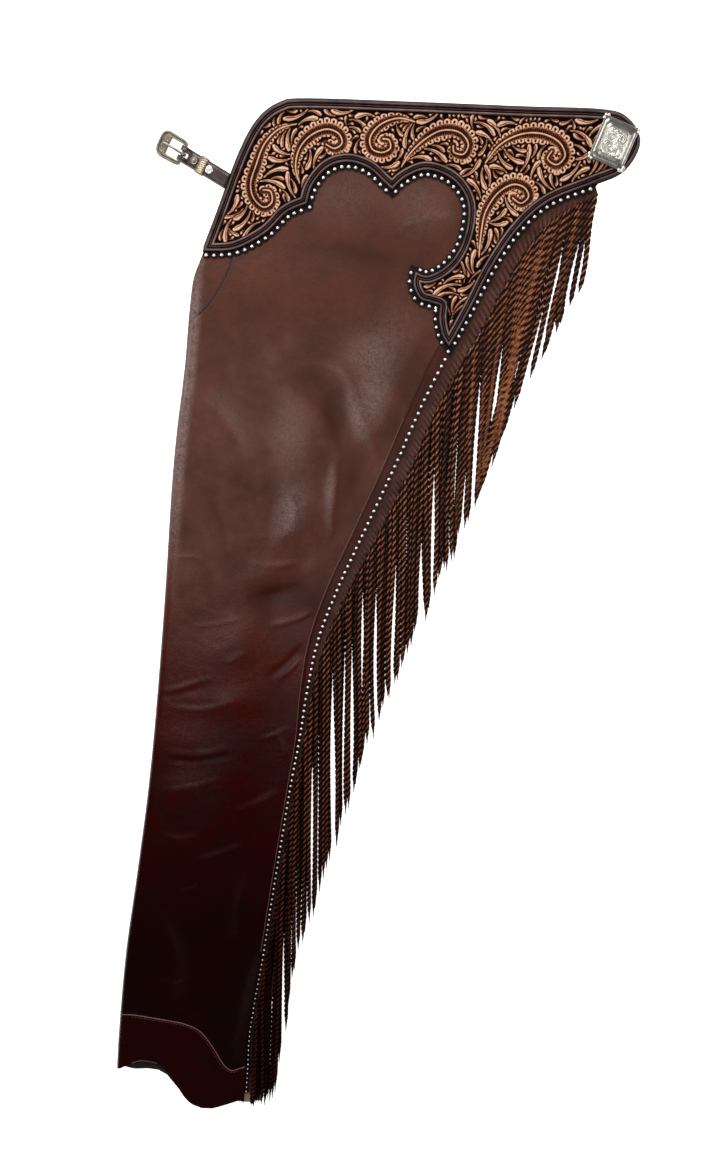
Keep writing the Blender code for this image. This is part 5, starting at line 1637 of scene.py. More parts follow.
def leaf_half(signed, along, spine_lengths, rim, half, pitch, relief, ground):
    """One side of a scroll's leaf: hatching beside the spine, then a row of lobes with a
    dark drop in each. Returns the distance inside its edge, the height and the tone."""
    rim_along = np.interp(along, spine_lengths, rim)
    middle_along = np.interp(along, spine_lengths, (rim + spine_lengths) / 2)
    lobe = rim_along / pitch % 1.0 - 0.5
    reach = half * (1.0 - 0.20 * np.abs(2 * lobe)**2.4)
    u = signed / np.maximum(half, 0.3)
    edge = reach - signed
    tone = 0.5 + 0.5 * smoothstep(0.0, 0.35, edge)
    height = relief * (0.45 + 0.55 * smoothstep(0.0, 0.7, edge))
    wide = smoothstep(2.2, 3.6, half)
    hatch = 0.5 + 0.5 * np.cos(2 * math.pi * middle_along / HATCH_PITCH)
    in_hatch = smoothstep(0.8, 1.2, signed) * (1 - smoothstep(0.38, 0.46, u)) * wide
    tone = tone * (1 - in_hatch) + in_hatch * (0.10 + 0.62 * hatch * (0.35 + 1.3 * u))
    height = height - in_hatch * relief * (0.42 - 0.22 * hatch)
    drop = 1.0 - (lobe / 0.17)**2 - ((u - 0.70) / 0.13)**2
    drop = smoothstep(0.0, 0.35, drop) * wide
    split = smoothstep(0.40, 0.47, np.abs(lobe)) * smoothstep(0.48, 0.58, u)
    wavy = 0.47 + 0.045 * np.cos(2 * math.pi * lobe)
    ring = np.exp(-((u - wavy) * half / 0.30)**2) * wide
    dark = np.clip(0.9 * drop + 0.8 * split + 0.7 * ring, 0.0, 1.0)
    return edge, ground + height - 0.55 * relief * dark, tone * (1.0 - 0.9 * dark)


Scroll = namedtuple("Scroll", "outer inner turn spine")


def draw_scroll(drawing, scroll, relief):
    """A curled leaf: a ridged spine with a lobed and hatched side on each hand."""
    spine = curve(scroll.spine, 1.0)
    lengths = np.concatenate([[0.0], np.cumsum([math.dist(a, b) for a, b in zip(spine, spine[1:])])])
    share = lengths / lengths[-1]
    window, places = drawing.window(spine, max(scroll.outer, scroll.inner) + 1.5)
    distance, along, side = nearest(spine, places)
    across = side * distance * scroll.turn
    t = along / lengths[-1]
    halves = []
    for turn, table, full, pitch in ((1, SCROLL_OUTER, scroll.outer, RIM_PITCH),
                                     (-1, SCROLL_INNER, scroll.inner, RIM_PITCH * 0.85)):
        stations, shares = zip(*table)
        widths = np.interp(share, stations, shares) * full
        rim = rim_lengths(spine, widths, scroll.turn * turn)
        halves.append(leaf_half(across * turn, along, lengths, rim,
                                np.interp(t, stations, shares) * full, pitch, relief,
                                drawing.ground))
    outer = across >= 0
    edge, height, tone = (np.where(outer, a, b) for a, b in zip(*halves))
    ridge = np.exp(-(across / 0.42)**2) * (t < 0.995)
    cuts = np.exp(-((np.abs(across) - 0.85) / 0.22)**2)
    height = height + 0.2 * relief * ridge - 0.4 * relief * cuts
    tone = np.maximum(tone * (1.0 - 0.85 * cuts), ridge * (edge > 0))
    drawing.lay(window, edge, height, tone, 0.55)


SCROLLS = [Scroll(*row) for row in (
    (8.2, 8.5, -1, [(-30, 493), (-45, 489), (-57, 478), (-64, 463), (-69, 449), (-67, 438),
                    (-59, 431), (-52, 435), (-53, 443), (-59, 444)]),
    (9.0, 8.5, 1, [(-29, 449), (-32, 461), (-29, 474), (-20, 484), (-7, 489), (3, 486),
                   (6, 479), (0, 475), (-7, 478)]),
    (8.5, 8.0, -1, [(66, 494), (52, 497), (38, 493), (29, 484), (30, 475), (38, 472), (45, 475),
                    (44, 481), (39, 482)]),
    (9.0, 8.0, 1, [(54, 461), (61, 471), (72, 481), (86, 488), (100, 487), (108, 479),
                   (105, 471), (97, 472), (96, 477)]),
    (9.0, 8.5, 1, [(121, 462), (133, 477), (149, 485), (166, 486), (181, 480), (187, 470),
                   (181, 463), (173, 467), (176, 473)]),
    (9.5, 8.5, 1, [(120, 392), (121, 410), (124, 427), (133, 441), (145, 448), (155, 446),
                   (159, 439), (153, 434), (146, 438)]))]

# long fronds, given one by one: where they spring from, heading in degrees, length, curl and size
Stem = namedtuple("Stem", "x y heading length curl size")
STEMS = [Stem(*row) for row in (
    (-76, 430, 232, 20, -1, 1.1), (-62, 420, 196, 26, 1, 1.2), (106, 370, 166, 27, 1, 1.3),
    (98, 343, 64, 30, -1, 0.9), (99, 346, 78, 22, -1, 0.9), (97, 346, 96, 12, 1, 0.8),
    (112, 372, 62, 26, -1, 0.95), (108, 372, 76, 24, 1, 1.0), (104, 362, 152, 20, 1, 1.0),
    (190, 488, 2, 22, -1, 1.3), (193, 478, 352, 20, -1, 1.3), (192, 468, 340, 16, 1, 1.2),
    (12, 496, 8, 16, -1, 1.1), (112, 494, 6, 20, -1, 1.2))]
# the shortest fronds of each round, and how far they may turn from straight out
BRANCH_ROUNDS = ((15.0, 3500), (10.0, 4000), (6.5, 4500), (4.0, 4500), (2.6, 4000))
BRANCH_TURNS = (44.0, 30.0, 58.0, 14.0, 0.0, -20.0, -44.0)


def curled_line(x, y, angle, length, curl):
    """A line that leaves a point at an angle and curls one way."""
    points = [(x, y)]
    for i in range(4):
        heading = math.radians(angle + curl * (i + 0.5) * 13.0)
        x += math.cos(heading) * length / 4
        y += math.sin(heading) * length / 4
        points.append((x, y))
    return points


def free_length(drawing, line, size):
    """How far a frond can run before it meets what is drawn or the field's edge."""
    points = np.array(resampled(line, 0.5))
    steps = np.gradient(points, axis=0)
    steps /= np.maximum(np.hypot(steps[:, 0], steps[:, 1]), 1e-9)[:, None]
    sides = np.column_stack([steps[:, 1], -steps[:, 0]])
    share = np.linspace(0.0, 1.0, len(points))
    reach = (0.55 + 1.35 * smoothstep(0.05, 0.8, share))[:, None] * size
    free = np.ones(len(points), bool)
    for offset in (0.0, 0.55, 1.0, -0.55, -1.0):
        places = points + sides * reach * offset
        i = np.clip(((places[:, 0] - drawing.left) / drawing.cell).astype(int), 0,
                    drawing.taken.shape[1] - 1)
        j = np.clip(((places[:, 1] - drawing.bottom) / drawing.cell).astype(int), 0,
                    drawing.taken.shape[0] - 1)
        free &= ~drawing.taken[j, i]
    free[:3] = True
    blocked = np.nonzero(~free)[0]
    return (blocked[0] - 1 if len(blocked) else len(points) - 1) * 0.5


def open_ahead(drawing, x, y, heading, length):
    ux, uy = math.cos(math.radians(heading)), math.sin(math.radians(heading))
    rows, columns = drawing.taken.shape
    for share in (0.12, 0.3, 0.5):
        i = int((x + ux * length * share - drawing.left) / drawing.cell)
        j = int((y + uy * length * share - drawing.bottom) / drawing.cell)
        if not (0 <= i < columns and 0 <= j < rows) or drawing.taken[j, i]:
            return False
    return True


def open_edges(drawing):
    """Places along the edges of what is drawn, with their headings into the open ground."""
    solid = drawing.taken.astype(float)
    dx = np.zeros_like(solid)
    dy = np.zeros_like(solid)
    for reach in (1, 2, 3):
        dx[:, reach:-reach] += solid[:, :-2 * reach] - solid[:, 2 * reach:]
        dy[reach:-reach, :] += solid[:-2 * reach, :] - solid[2 * reach:, :]
    rows, columns = np.nonzero((drawing.taken == 0) & (np.hypot(dx, dy) > 1.0))
    headings = np.degrees(np.arctan2(dy[rows, columns], dx[rows, columns]))
    return (drawing.left + columns * drawing.cell, drawing.bottom + rows * drawing.cell,
            headings)


def draw_branches(drawing, relief):
    """Fronds that spring from the edges of what is drawn, wherever the ground lies open,
    the longest first. Neighbours turn the same way, so that they stand in fans."""
    rng = np.random.default_rng(SEED)
    for shortest, tries in BRANCH_ROUNDS:
        x, y, outwards = open_edges(drawing)
        size = 0.5 + shortest / 18
        for k in rng.permutation(len(x))[:tries]:
            curl = 1 if math.sin(x[k] / 17.0 + 1.3 * math.sin(y[k] / 21.0)) > 0 else -1
            for turn in BRANCH_TURNS:
                heading = outwards[k] - turn * curl
                if not open_ahead(drawing, x[k], y[k], heading + 14.0 * curl, shortest):
                    continue
                line = curled_line(x[k], y[k], heading, shortest * 1.4, curl)
                length = free_length(drawing, line, size)
                if length >= shortest:
                    line = curled_line(x[k], y[k], heading, length - 0.3, curl)
                    draw_frond(drawing, line, size, curl, relief * 0.9)
                    break


FIELD_GROUND = YOKE_REST + 1.25
FIELD_RELIEF = 0.72
FIELD_SPACING = 0.52


def block_outside(drawing, loop):
    """Mark every cell outside an outline as taken."""
    ends = np.array(loop)
    starts = np.roll(ends, 1, 0)
    for j in range(drawing.taken.shape[0]):
        y = drawing.bottom + j * drawing.cell
        crossing_row = (starts[:, 1] > y) != (ends[:, 1] > y)
        a, b = starts[crossing_row], ends[crossing_row]
        x = np.sort(a[:, 0] + (y - a[:, 1]) / (b[:, 1] - a[:, 1]) * (b[:, 0] - a[:, 0]))
        free = np.zeros(drawing.taken.shape[1], bool)
        for low, high in zip(x[::2], x[1::2]):
            i0 = max(0, int((low - drawing.left) / drawing.cell) + 1)
            i1 = int((high - drawing.left) / drawing.cell)
            free[i0:i1] = True
        drawing.taken[j] |= ~free


def draw_field(field):
    low, high = np.min(field, 0), np.max(field, 0)
    drawing = Drawing((low[0] - 1, low[1] - 1, high[0] + 1, high[1] + 1), DRAWING_CELL,
                      FIELD_GROUND)
    for stem in STEMS:
        line = curled_line(stem.x, stem.y, stem.heading, stem.length, stem.curl * 1.3)
        draw_frond(drawing, line, stem.size, stem.curl, FIELD_RELIEF)
    for scroll in SCROLLS:
        draw_scroll(drawing, scroll, FIELD_RELIEF)
    block_outside(drawing, field)
    draw_branches(drawing, FIELD_RELIEF)
    return drawing


def build_tooled_field(m):
    """The carved field of the yoke: scrolls, fronds and fillers on a matted ground."""
    edge = edge_loop(YOKE_EDGE, 1.2)
    field = moved_out(edge, -BORDER_WIDTH - GAP)
    drawing = draw_field(field)

    def over(x, y):
        return drawing.at("height", x, y)
    piece, top, bottom = plate("yoke_panel", field, yoke_point, YOKE_REST, over,
                               [m["tooled"], m["suede"], m["edge"]],
                               grid=box_grid(field, FIELD_SPACING), under_grid=(),
                               clearance=0.3, sharp_above=75.0)
    tone = drawing.at("tone", top[:, 0], top[:, 1])
    set_plate_values(piece, "tone", tone, bottom, 0.4)
    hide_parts("yoke_panel")
    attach(piece, "leg")


# ============================ strap and buckle ============================

# places across the strap, and the share of its thickness there: worn edges and a crease line
STRAP_STATIONS = ((-6.2, 0.35), (-6.05, 0.75), (-5.6, 1.0), (-5.05, 1.0), (-4.85, 0.72),
                  (-4.65, 1.0), (-1.9, 1.0), (1.9, 1.0), (4.65, 1.0), (4.85, 0.72), (5.05, 1.0),
                  (5.6, 1.0), (6.05, 0.75), (6.2, 0.35))
STRAP_WEAR = (1.0, 1.0, 0.65, 0.1, 0.0, 0.0, 0.2, 0.2, 0.0, 0.0, 0.1, 0.3, 0.7, 0.7)
SLOT_LINE = 6             # the station before the tongue's slot
SLOT_BACK = (4.0, 5.0)    # how far the slot reaches back in the lower and the upper layer


def strap_point(back, across, height):
    """Points of the strap: back is the distance from the bar towards the yoke."""
    back, across, height = np.broadcast_arrays(back, across, height)
    x = BAR.x - AWAY.x * back + ACROSS.x * across
    y = BAR.y - AWAY.y * back + ACROSS.y * across
    return np.stack([x, y, height], -1)


def strap_path():
    """The middle of the strap's leather, from under the yoke round the bar and back, and
    where along it the slot starts and ends."""
    low = STRAP_LEATHER / 2 + 0.1
    lower = [(back, low + (LOWER_LAYER - low) * float(smoothstep(38.0, 28.0, back)))
             for back in np.linspace(53.0, SLOT_BACK[0], 36)]
    turn = [(-LOOP_RADIUS * math.sin(math.pi * i / 24),
             BAR.z - LOOP_RADIUS * math.cos(math.pi * i / 24)) for i in range(25)]
    over_bar = curve([(0.0, BAR.z + LOOP_RADIUS), (2.8, 6.2), (SLOT_BACK[1], 4.4)], 0.6)[1:]
    upper = curve([(SLOT_BACK[1], 4.4), (6.8, UPPER_LAYER), (12.0, UPPER_LAYER),
                   (20.0, UPPER_LAYER), (28.0, UPPER_LAYER), (33.0, 3.15), (39.6, 2.75)], 1.2)[1:]
    slot = range(len(lower) - 1, len(lower) + len(turn) + len(over_bar) - 1)
    return lower + turn + over_bar + upper, slot


def wall(faces, a, b, base, turned):
    face = (a, b, base + b, base + a)
    faces.append(face[::-1] if turned else face)


def build_strap(m):
    path, slot = strap_path()
    columns = len(STRAP_STATIONS)
    layers = []
    for half in (-STRAP_LEATHER / 2, STRAP_LEATHER / 2):
        full = np.array(moved_out(path, half, closed=False))
        for k, (back, height) in enumerate(path):
            layers.append([strap_point(back + (full[k, 0] - back) * share, across,
                                       height + (full[k, 1] - height) * share)
                           for across, share in STRAP_STATIONS])
    vertices = np.array(layers).reshape(-1, 3)
    base = columns * len(path)
    faces = []
    for k in range(len(path) - 1):
        row, following = columns * k, columns * (k + 1)
        for c in range(columns - 1):
            if k in slot and c == SLOT_LINE:
                continue
            a, b = row + c, following + c
            faces.append((a, b, b + 1, a + 1))
            faces.append((base + a, base + a + 1, base + b + 1, base + b))
        wall(faces, row, following, base, True)
        wall(faces, row + columns - 1, following + columns - 1, base, False)
        if k in slot:
            wall(faces, row + SLOT_LINE, following + SLOT_LINE, base, False)
            wall(faces, row + SLOT_LINE + 1, following + SLOT_LINE + 1, base, True)
    start, end = (columns * k + SLOT_LINE for k in (slot[0], slot[-1] + 1))
    wall(faces, start, start + 1, base, True)
    wall(faces, end, end + 1, base, False)
    last = columns * (len(path) - 1)
    for c in range(columns - 1):
        wall(faces, c, c + 1, base, False)
        wall(faces, last + c, last + c + 1, base, True)
    piece = add_mesh("buckle_strap", vertices, faces, [m["strap"]], sharp_above=55.0)
    set_values(piece, "wear_and_sheen", np.tile(STRAP_WEAR, 2 * len(path)))
    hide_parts("buckle_strap")
    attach(piece, "leg")


CORNERS = ((1, -1), (1, 1), (-1, 1), (-1, -1))      # of a box, counterclockwise


def rounded_box(x, y, half_x, half_y, radius, steps):
    """A counterclockwise rectangle with round corners."""
    points = []
    for corner, (sx, sy) in enumerate(CORNERS):
        cx, cy = x + sx * (half_x - radius), y + sy * (half_y - radius)
        for i in range(steps + 1):
            angle = math.pi / 2 * (corner - 1 + i / steps)
            points.append((cx + radius * math.cos(angle), cy + radius * math.sin(angle)))
    return points


def facing_out(vertices, faces):
    """The faces of a closed mesh, turned to face outwards."""
    flat = np.array(vertices, float)
    flat -= flat.mean(0)
    volume = sum(float(np.dot(flat[face[0]], np.cross(flat[b], flat[c])))
                 for face in faces for b, c in zip(face[1:], face[2:]))
    return faces if volume > 0 else [face[::-1] for face in faces]


KEEPER_FLUTE = 1.75       # pitch of the keeper's slanting flutes
KEEPER_LIFTS = (-3.3, -3.15, -2.9, -2.6, -2.42, -2.25, -1.8, -1.35, -0.9, -0.45, 0.0,
                0.45, 0.9, 1.35, 1.8, 2.25, 2.42, 2.6, 2.9, 3.15, 3.3)
KEEPER_RIM = (0.25, 0.06, 0.0, 0.04, 0.28, 0.10, 0.04, 0.0, 0.0, 0.0, 0.0,
              0.0, 0.0, 0.0, 0.04, 0.10, 0.28, 0.04, 0.0, 0.06, 0.25)


def keeper_rings():
    """Cross-sections of the keeper's band, one after another round the strap."""
    half = STRAP_WIDTH / 2 + GAP
    low, high = 0.1 + KEEPER_WALL, UPPER_LAYER + STRAP_LEATHER / 2 + GAP
    middle, rise_half = (low + high) / 2, (high - low) / 2
    outer = rounded_box(0.0, middle, half + KEEPER_WALL, rise_half + KEEPER_WALL, 1.2, 5)
    inner = rounded_box(0.0, middle, half, rise_half, 0.5, 5)
    back = (KEEPER[0] + KEEPER[1]) / 2
    rings, tones = [], []
    walked = 0.0
    for i, (x, height) in enumerate(outer):
        following = outer[(i + 1) % len(outer)]
        length = math.dist((x, height), following)
        pieces = max(1, round(length / 0.22))
        for j in range(pieces):
            t = j / pieces
            out = np.array([x, height]) * (1 - t) + np.array(following) * t
            inn = np.array(inner[i]) * (1 - t) + np.array(inner[(i + 1) % len(inner)]) * t
            upper = float(smoothstep(middle, middle + 1.5, out[1]))
            ring, tone = [], []
            for lift, sunk in zip(KEEPER_LIFTS, KEEPER_RIM):
                wave = 0.5 + 0.5 * math.cos(2 * math.pi * (walked + length * t + 0.9 * lift)
                                            / KEEPER_FLUTE)
                flute = 0.34 * wave**2 * upper * (abs(lift) < 2.3)
                place = out + (inn - out) / KEEPER_WALL * (sunk + flute)
                ring.append(tuple(strap_point(back + lift, place[0], place[1])))
                tone.append(1.0 - 2.2 * sunk - 3.2 * flute)
            for lift in (KEEPER_LIFTS[-1], 0.0, KEEPER_LIFTS[0]):
                ring.append(tuple(strap_point(back + lift, inn[0], inn[1])))
                tone.append(0.6)
            rings.append(ring)
            tones += tone
        walked += length
    return rings, tones


def build_keeper(m):
    rings, tones = keeper_rings()
    vertices, faces = swept(rings, closed=True)
    piece = add_mesh("strap_keeper", np.array(vertices), facing_out(vertices, faces),
                     [m["gilt"]], sharp_above=60.0)
    set_values(piece, "tone", tones)
    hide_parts("strap_keeper")
    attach(piece, "leg")


def turned_part(x, y, rest, profile, radius, height, count=48):
    """A piece turned on a lathe: profile gives shares of the radius and the height."""
    angles = [2 * math.pi * i / count for i in range(count)]
    rings = [[(x + radius * r * math.cos(a), y + radius * r * math.sin(a), rest + height * h)
              for a in angles] for r, h in profile]
    return swept(rings)


RINGED_SCREW = ((0.99, 0.0), (1.0, 0.10), (1.0, 0.34), (0.96, 0.46), (0.90, 0.50), (0.80, 0.48),
                (0.74, 0.36), (0.69, 0.33), (0.64, 0.40), (0.58, 0.58), (0.47, 0.76),
                (0.33, 0.90), (0.17, 0.98), (0.03, 1.0))
DOMED_SCREW = ((0.98, 0.0), (1.0, 0.08), (1.0, 0.26), (0.97, 0.42), (0.90, 0.57), (0.78, 0.72),
               (0.62, 0.85), (0.44, 0.94), (0.24, 0.99), (0.04, 1.0))


def build_screws(m):
    rest = UPPER_LAYER + STRAP_LEATHER / 2 + GAP
    for number, (back, diameter) in enumerate(SCREWS, start=1):
        x, y, _ = strap_point(back, 0.0, 0.0)
        profile = RINGED_SCREW if number == 1 else DOMED_SCREW
        vertices, faces = turned_part(x, y, rest, profile, diameter / 2, SCREW_HEIGHT)
        name = f"strap_screw_{number}"
        # the second screw in the brighter spot silver: a lit copy of the first screw's metal, a
        # painted reflection
        piece = add_mesh(name, np.array(vertices), facing_out(vertices, faces),
                         [m["silver"] if number == 1 else m["spot"]], sharp_above=60.0)
        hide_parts(name)
        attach(piece, "leg")


def bar_point(x, y, height):
    """Points of a piece modelled along +X about the bar, laid on the strap's line."""
    tilt, turn = math.radians(BUCKLE_TILT), math.radians(STRAP_ANGLE)
    x, y, height = np.broadcast_arrays(x, y, height)
    along = x * math.cos(tilt) + height * math.sin(tilt)
    up = height * math.cos(tilt) - x * math.sin(tilt)
    return np.column_stack([BAR.x + along * math.cos(turn) - y * math.sin(turn),
                            BAR.y + along * math.sin(turn) + y * math.cos(turn),
                            BAR.z + up])


# silver is drawn enlarged, so that the leather's scrolls come out fine enough for it
ENGRAVING_SCALE = 4.0
ROPE_PITCH = 1.45


def engraved(outline, kept_clear, scrolls):
    """A drawing of scrolls and fronds inside an outline, clear of the given outlines."""
    big = [(x * ENGRAVING_SCALE, y * ENGRAVING_SCALE) for x, y in outline]
    low, high = np.min(big, 0), np.max(big, 0)
    drawing = Drawing((low[0] - 1, low[1] - 1, high[0] + 1, high[1] + 1), DRAWING_CELL, 0.0)
    for scroll in scrolls:
        draw_scroll(drawing, scroll, 1.0)
    block_outside(drawing, big)
    rows, columns = drawing.taken.shape
    x, y = np.meshgrid(drawing.left + np.arange(columns) * drawing.cell,
                       drawing.bottom + np.arange(rows) * drawing.cell)
    cells_at = np.column_stack([x.ravel(), y.ravel()])
    for loop in kept_clear:
        big_loop = [(px * ENGRAVING_SCALE, py * ENGRAVING_SCALE) for px, py in loop]
        drawing.taken |= inside_many(big_loop, cells_at).reshape(rows, columns)
    draw_branches(drawing, 1.0)
    return drawing


def engraving_at(drawing, x, y):
    """Heights and tones of an engraving at places on its piece."""
    x, y = x * ENGRAVING_SCALE, y * ENGRAVING_SCALE
    return drawing.at("height", x, y), drawing.at("tone", x, y)


def frame_outline():
    """The buckle frame's edge: straight along the bar, round and scalloped beyond."""
    box = rounded_box(FRAME_LENGTH / 2 - 0.45, 0.0, FRAME_LENGTH / 2 + 0.45, FRAME_WIDTH / 2,
                      6.5, 12)
    start = [i for i, p in enumerate(box) if p[0] >= FRAME_LENGTH * 0.4]
    round_end = resampled([box[i] for i in start], 0.29)
    lobed, walked = [], 0.0
    for i, (x, y) in enumerate(round_end):
        walked += math.dist(round_end[i - 1], (x, y)) if i else 0.0
        reach = 1.0 + 0.03 * abs(math.sin(math.pi * walked / ROPE_PITCH))
        lobed.append((10.0 + (x - 10.0) * reach, y * reach))
    near = [(3.0, FRAME_WIDTH / 2 - 0.3), (0.2, FRAME_WIDTH / 2 - 1.1), (-BAR_HALF, 8.6)]
    return lobed + near + [(x, -y) for x, y in near[::-1]]


FRAME_SCROLLS = [Scroll(*row) for row in (
    (7.0, 6.5, 1, [(68, -2), (74, 4), (75, 14), (70, 22), (62, 25), (58, 20), (62, 17)]),
    (7.0, 6.5, -1, [(68, 2), (74, -6), (74, -16), (67, -24), (58, -25), (56, -19), (61, -18)]),
    (4.6, 4.2, -1, [(14, 33), (24, 34), (34, 33), (44, 30), (50, 24)]),
    (4.6, 4.2, 1, [(14, -33), (24, -34), (34, -33), (44, -30), (50, -24)]))]


def frame_window():
    near, far, half = WINDOW
    window = rounded_box((near + far) / 2, 0.0, (far - near) / 2, half, 1.0, 5)
    window = [(BAR_HALF, y) if x < near + 0.5 else (x, y) for x, y in window]
    return [p for i, p in enumerate(window) if p not in window[:i]]


def build_frame(m):
    outline, window = frame_outline(), dense(frame_window(), 0.6)
    drawing = engraved(moved_out(outline, -2.3), [moved_out(window, 0.9)], FRAME_SCROLLS)

    def details(x, y):
        places = np.column_stack([x, y])
        from_edge, along, _ = nearest(outline, places, True)
        from_window = nearest(window, places, True)[0]
        twist = 0.5 + 0.5 * np.cos(2 * math.pi * (along + 0.8 * from_edge) / ROPE_PITCH)
        rope = (from_edge < 1.75) & (x > 2.4)
        round_top = np.sqrt(np.clip(1.0 - ((from_edge - 0.9) / 1.05)**2, 0.0, 1.0))
        height = np.where(rope, 0.45 + round_top * (0.75 + 0.2 * twist), 0.92)
        tone = np.where(rope, 0.35 + 0.65 * round_top * (0.4 + 0.6 * twist), 0.62)
        groove = np.exp(-((from_edge - 1.95) / 0.22)**2)
        lip = np.exp(-((from_window - 0.45) / 0.38)**2) * (x > 2.0)
        relief, cut = engraving_at(drawing, x, y)
        field = ~rope & (from_window > 0.9) & (from_edge > 2.2) & (x > 2.0)
        height = height + np.where(field, 0.30 * relief, 0.0) - 0.3 * groove + 0.3 * lip
        tone = np.where(field, 0.25 + 0.75 * cut, tone) * (1 - 0.9 * groove) + 0.3 * lip
        on_bar = smoothstep(2.2, 1.4, x)
        bar_top = np.sqrt(np.clip(1.30**2 - np.clip(np.abs(x), 0.0, 1.0)**2, 0.3, 2.0))
        height = height * (1 - on_bar) + np.minimum(bar_top, BAR_HALF) * on_bar
        return height, tone

    piece, top, bottom = plate("buckle_frame", outline, bar_point, -FRAME_THICKNESS / 2,
                               lambda x, y: details(x, y)[0],
                               [m["antique"], m["antique"], m["antique"]], holes=[window],
                               grid=box_grid(outline, 0.2),
                               under_grid=box_grid(outline, 1.5), clearance=0.12,
                               sharp_above=80.0)
    tone = details(top[:, 0], top[:, 1])[1]
    set_plate_values(piece, "tone", np.clip(tone, 0.0, 1.0), bottom, 0.6)
    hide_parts("buckle_frame")
    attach(piece, "buckle")


def build_tongue(m):
    """A bent flat pin: its shank along the frame, then a loop three quarters round the bar."""
    hole, radius = TONGUE_RADIUS
    middle, half = (hole + radius) / 2, (radius - hole) / 2
    shank = [(TONGUE_REACH * (1 - i / 12), middle) for i in range(12)]
    loop = [(middle * math.cos(angle), middle * math.sin(angle))
            for angle in (math.pi * (0.5 + 1.5 * i / 30) for i in range(31))]
    path = shank + loop
    rings = []
    for k, (x, z) in enumerate(path):
        nx, nz = normal_at(path, k)
        blunt = (0.45, 0.82, 0.97)[k] if k < 3 else 1.0
        narrow = 1.0 if k > 11 else 0.72 + 0.28 * k / 11
        ring = []
        for i in range(20):
            angle = 2 * math.pi * i / 20
            across = math.copysign(abs(math.cos(angle))**0.6, math.cos(angle))
            lift = math.copysign(abs(math.sin(angle))**0.6, math.sin(angle))
            across *= TONGUE_WIDTH / 2 * narrow * blunt
            lift *= half * blunt
            ring.append((x + nx * lift, across, z + nz * lift))
        rings.append(ring)
    vertices, faces = swept(rings)
    flat = np.array(vertices)
    placed = bar_point(flat[:, 0], flat[:, 1], flat[:, 2])
    piece = add_mesh("buckle_tongue", placed, facing_out(placed, faces), [m["steel"]],
                     sharp_above=60.0)
    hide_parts("buckle_tongue")
    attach(piece, "tongue")


# ============================ concho ============================

CONCHO_SCROLLS = [Scroll(*row) for row in (
    (9.5, 9.0, 1, [(-4, -38), (-18, -34), (-27, -24), (-27, -12), (-19, -6), (-11, -10),
                   (-13, -17), (-18, -17)]),
    (9.5, 9.0, 1, [(8, 38), (21, 33), (28, 23), (28, 11), (20, 5), (12, 9), (13, 16), (18, 17)]),
    (8.0, 8.0, -1, [(10, -38), (22, -32), (28, -22), (26, -11), (18, -7), (12, -13), (17, -18)]),
    (8.0, 8.0, -1, [(-8, 38), (-21, 33), (-28, 23), (-26, 12), (-18, 8), (-12, 14), (-17, 19)]))]


def bead_places():
    """The middles of the three beads at each of the concho's corners."""
    half_x, half_y = CONCHO_SIZE[0] / 2, CONCHO_SIZE[1] / 2
    places = []
    for corner, (sx, sy) in enumerate(CORNERS):
        turn = math.pi / 2 * (corner - 1) + math.pi / 4
        cx, cy = sx * (half_x - 1.2), sy * (half_y - 1.2)
        for lobe in (-1, 0, 1):
            out = turn + lobe * math.radians(62)
            places.append((cx + 2.3 * math.cos(out), cy + 2.3 * math.sin(out), out))
    return places


def concho_outline():
    """A plate with slightly bowed sides and three round lobes at each corner."""
    points = []
    for x, y, out in bead_places():
        for i in range(17):
            angle = out + math.radians(-80 + 10 * i)
            points.append((x + BEAD / 2 * math.cos(angle), y + BEAD / 2 * math.sin(angle)))
    return points


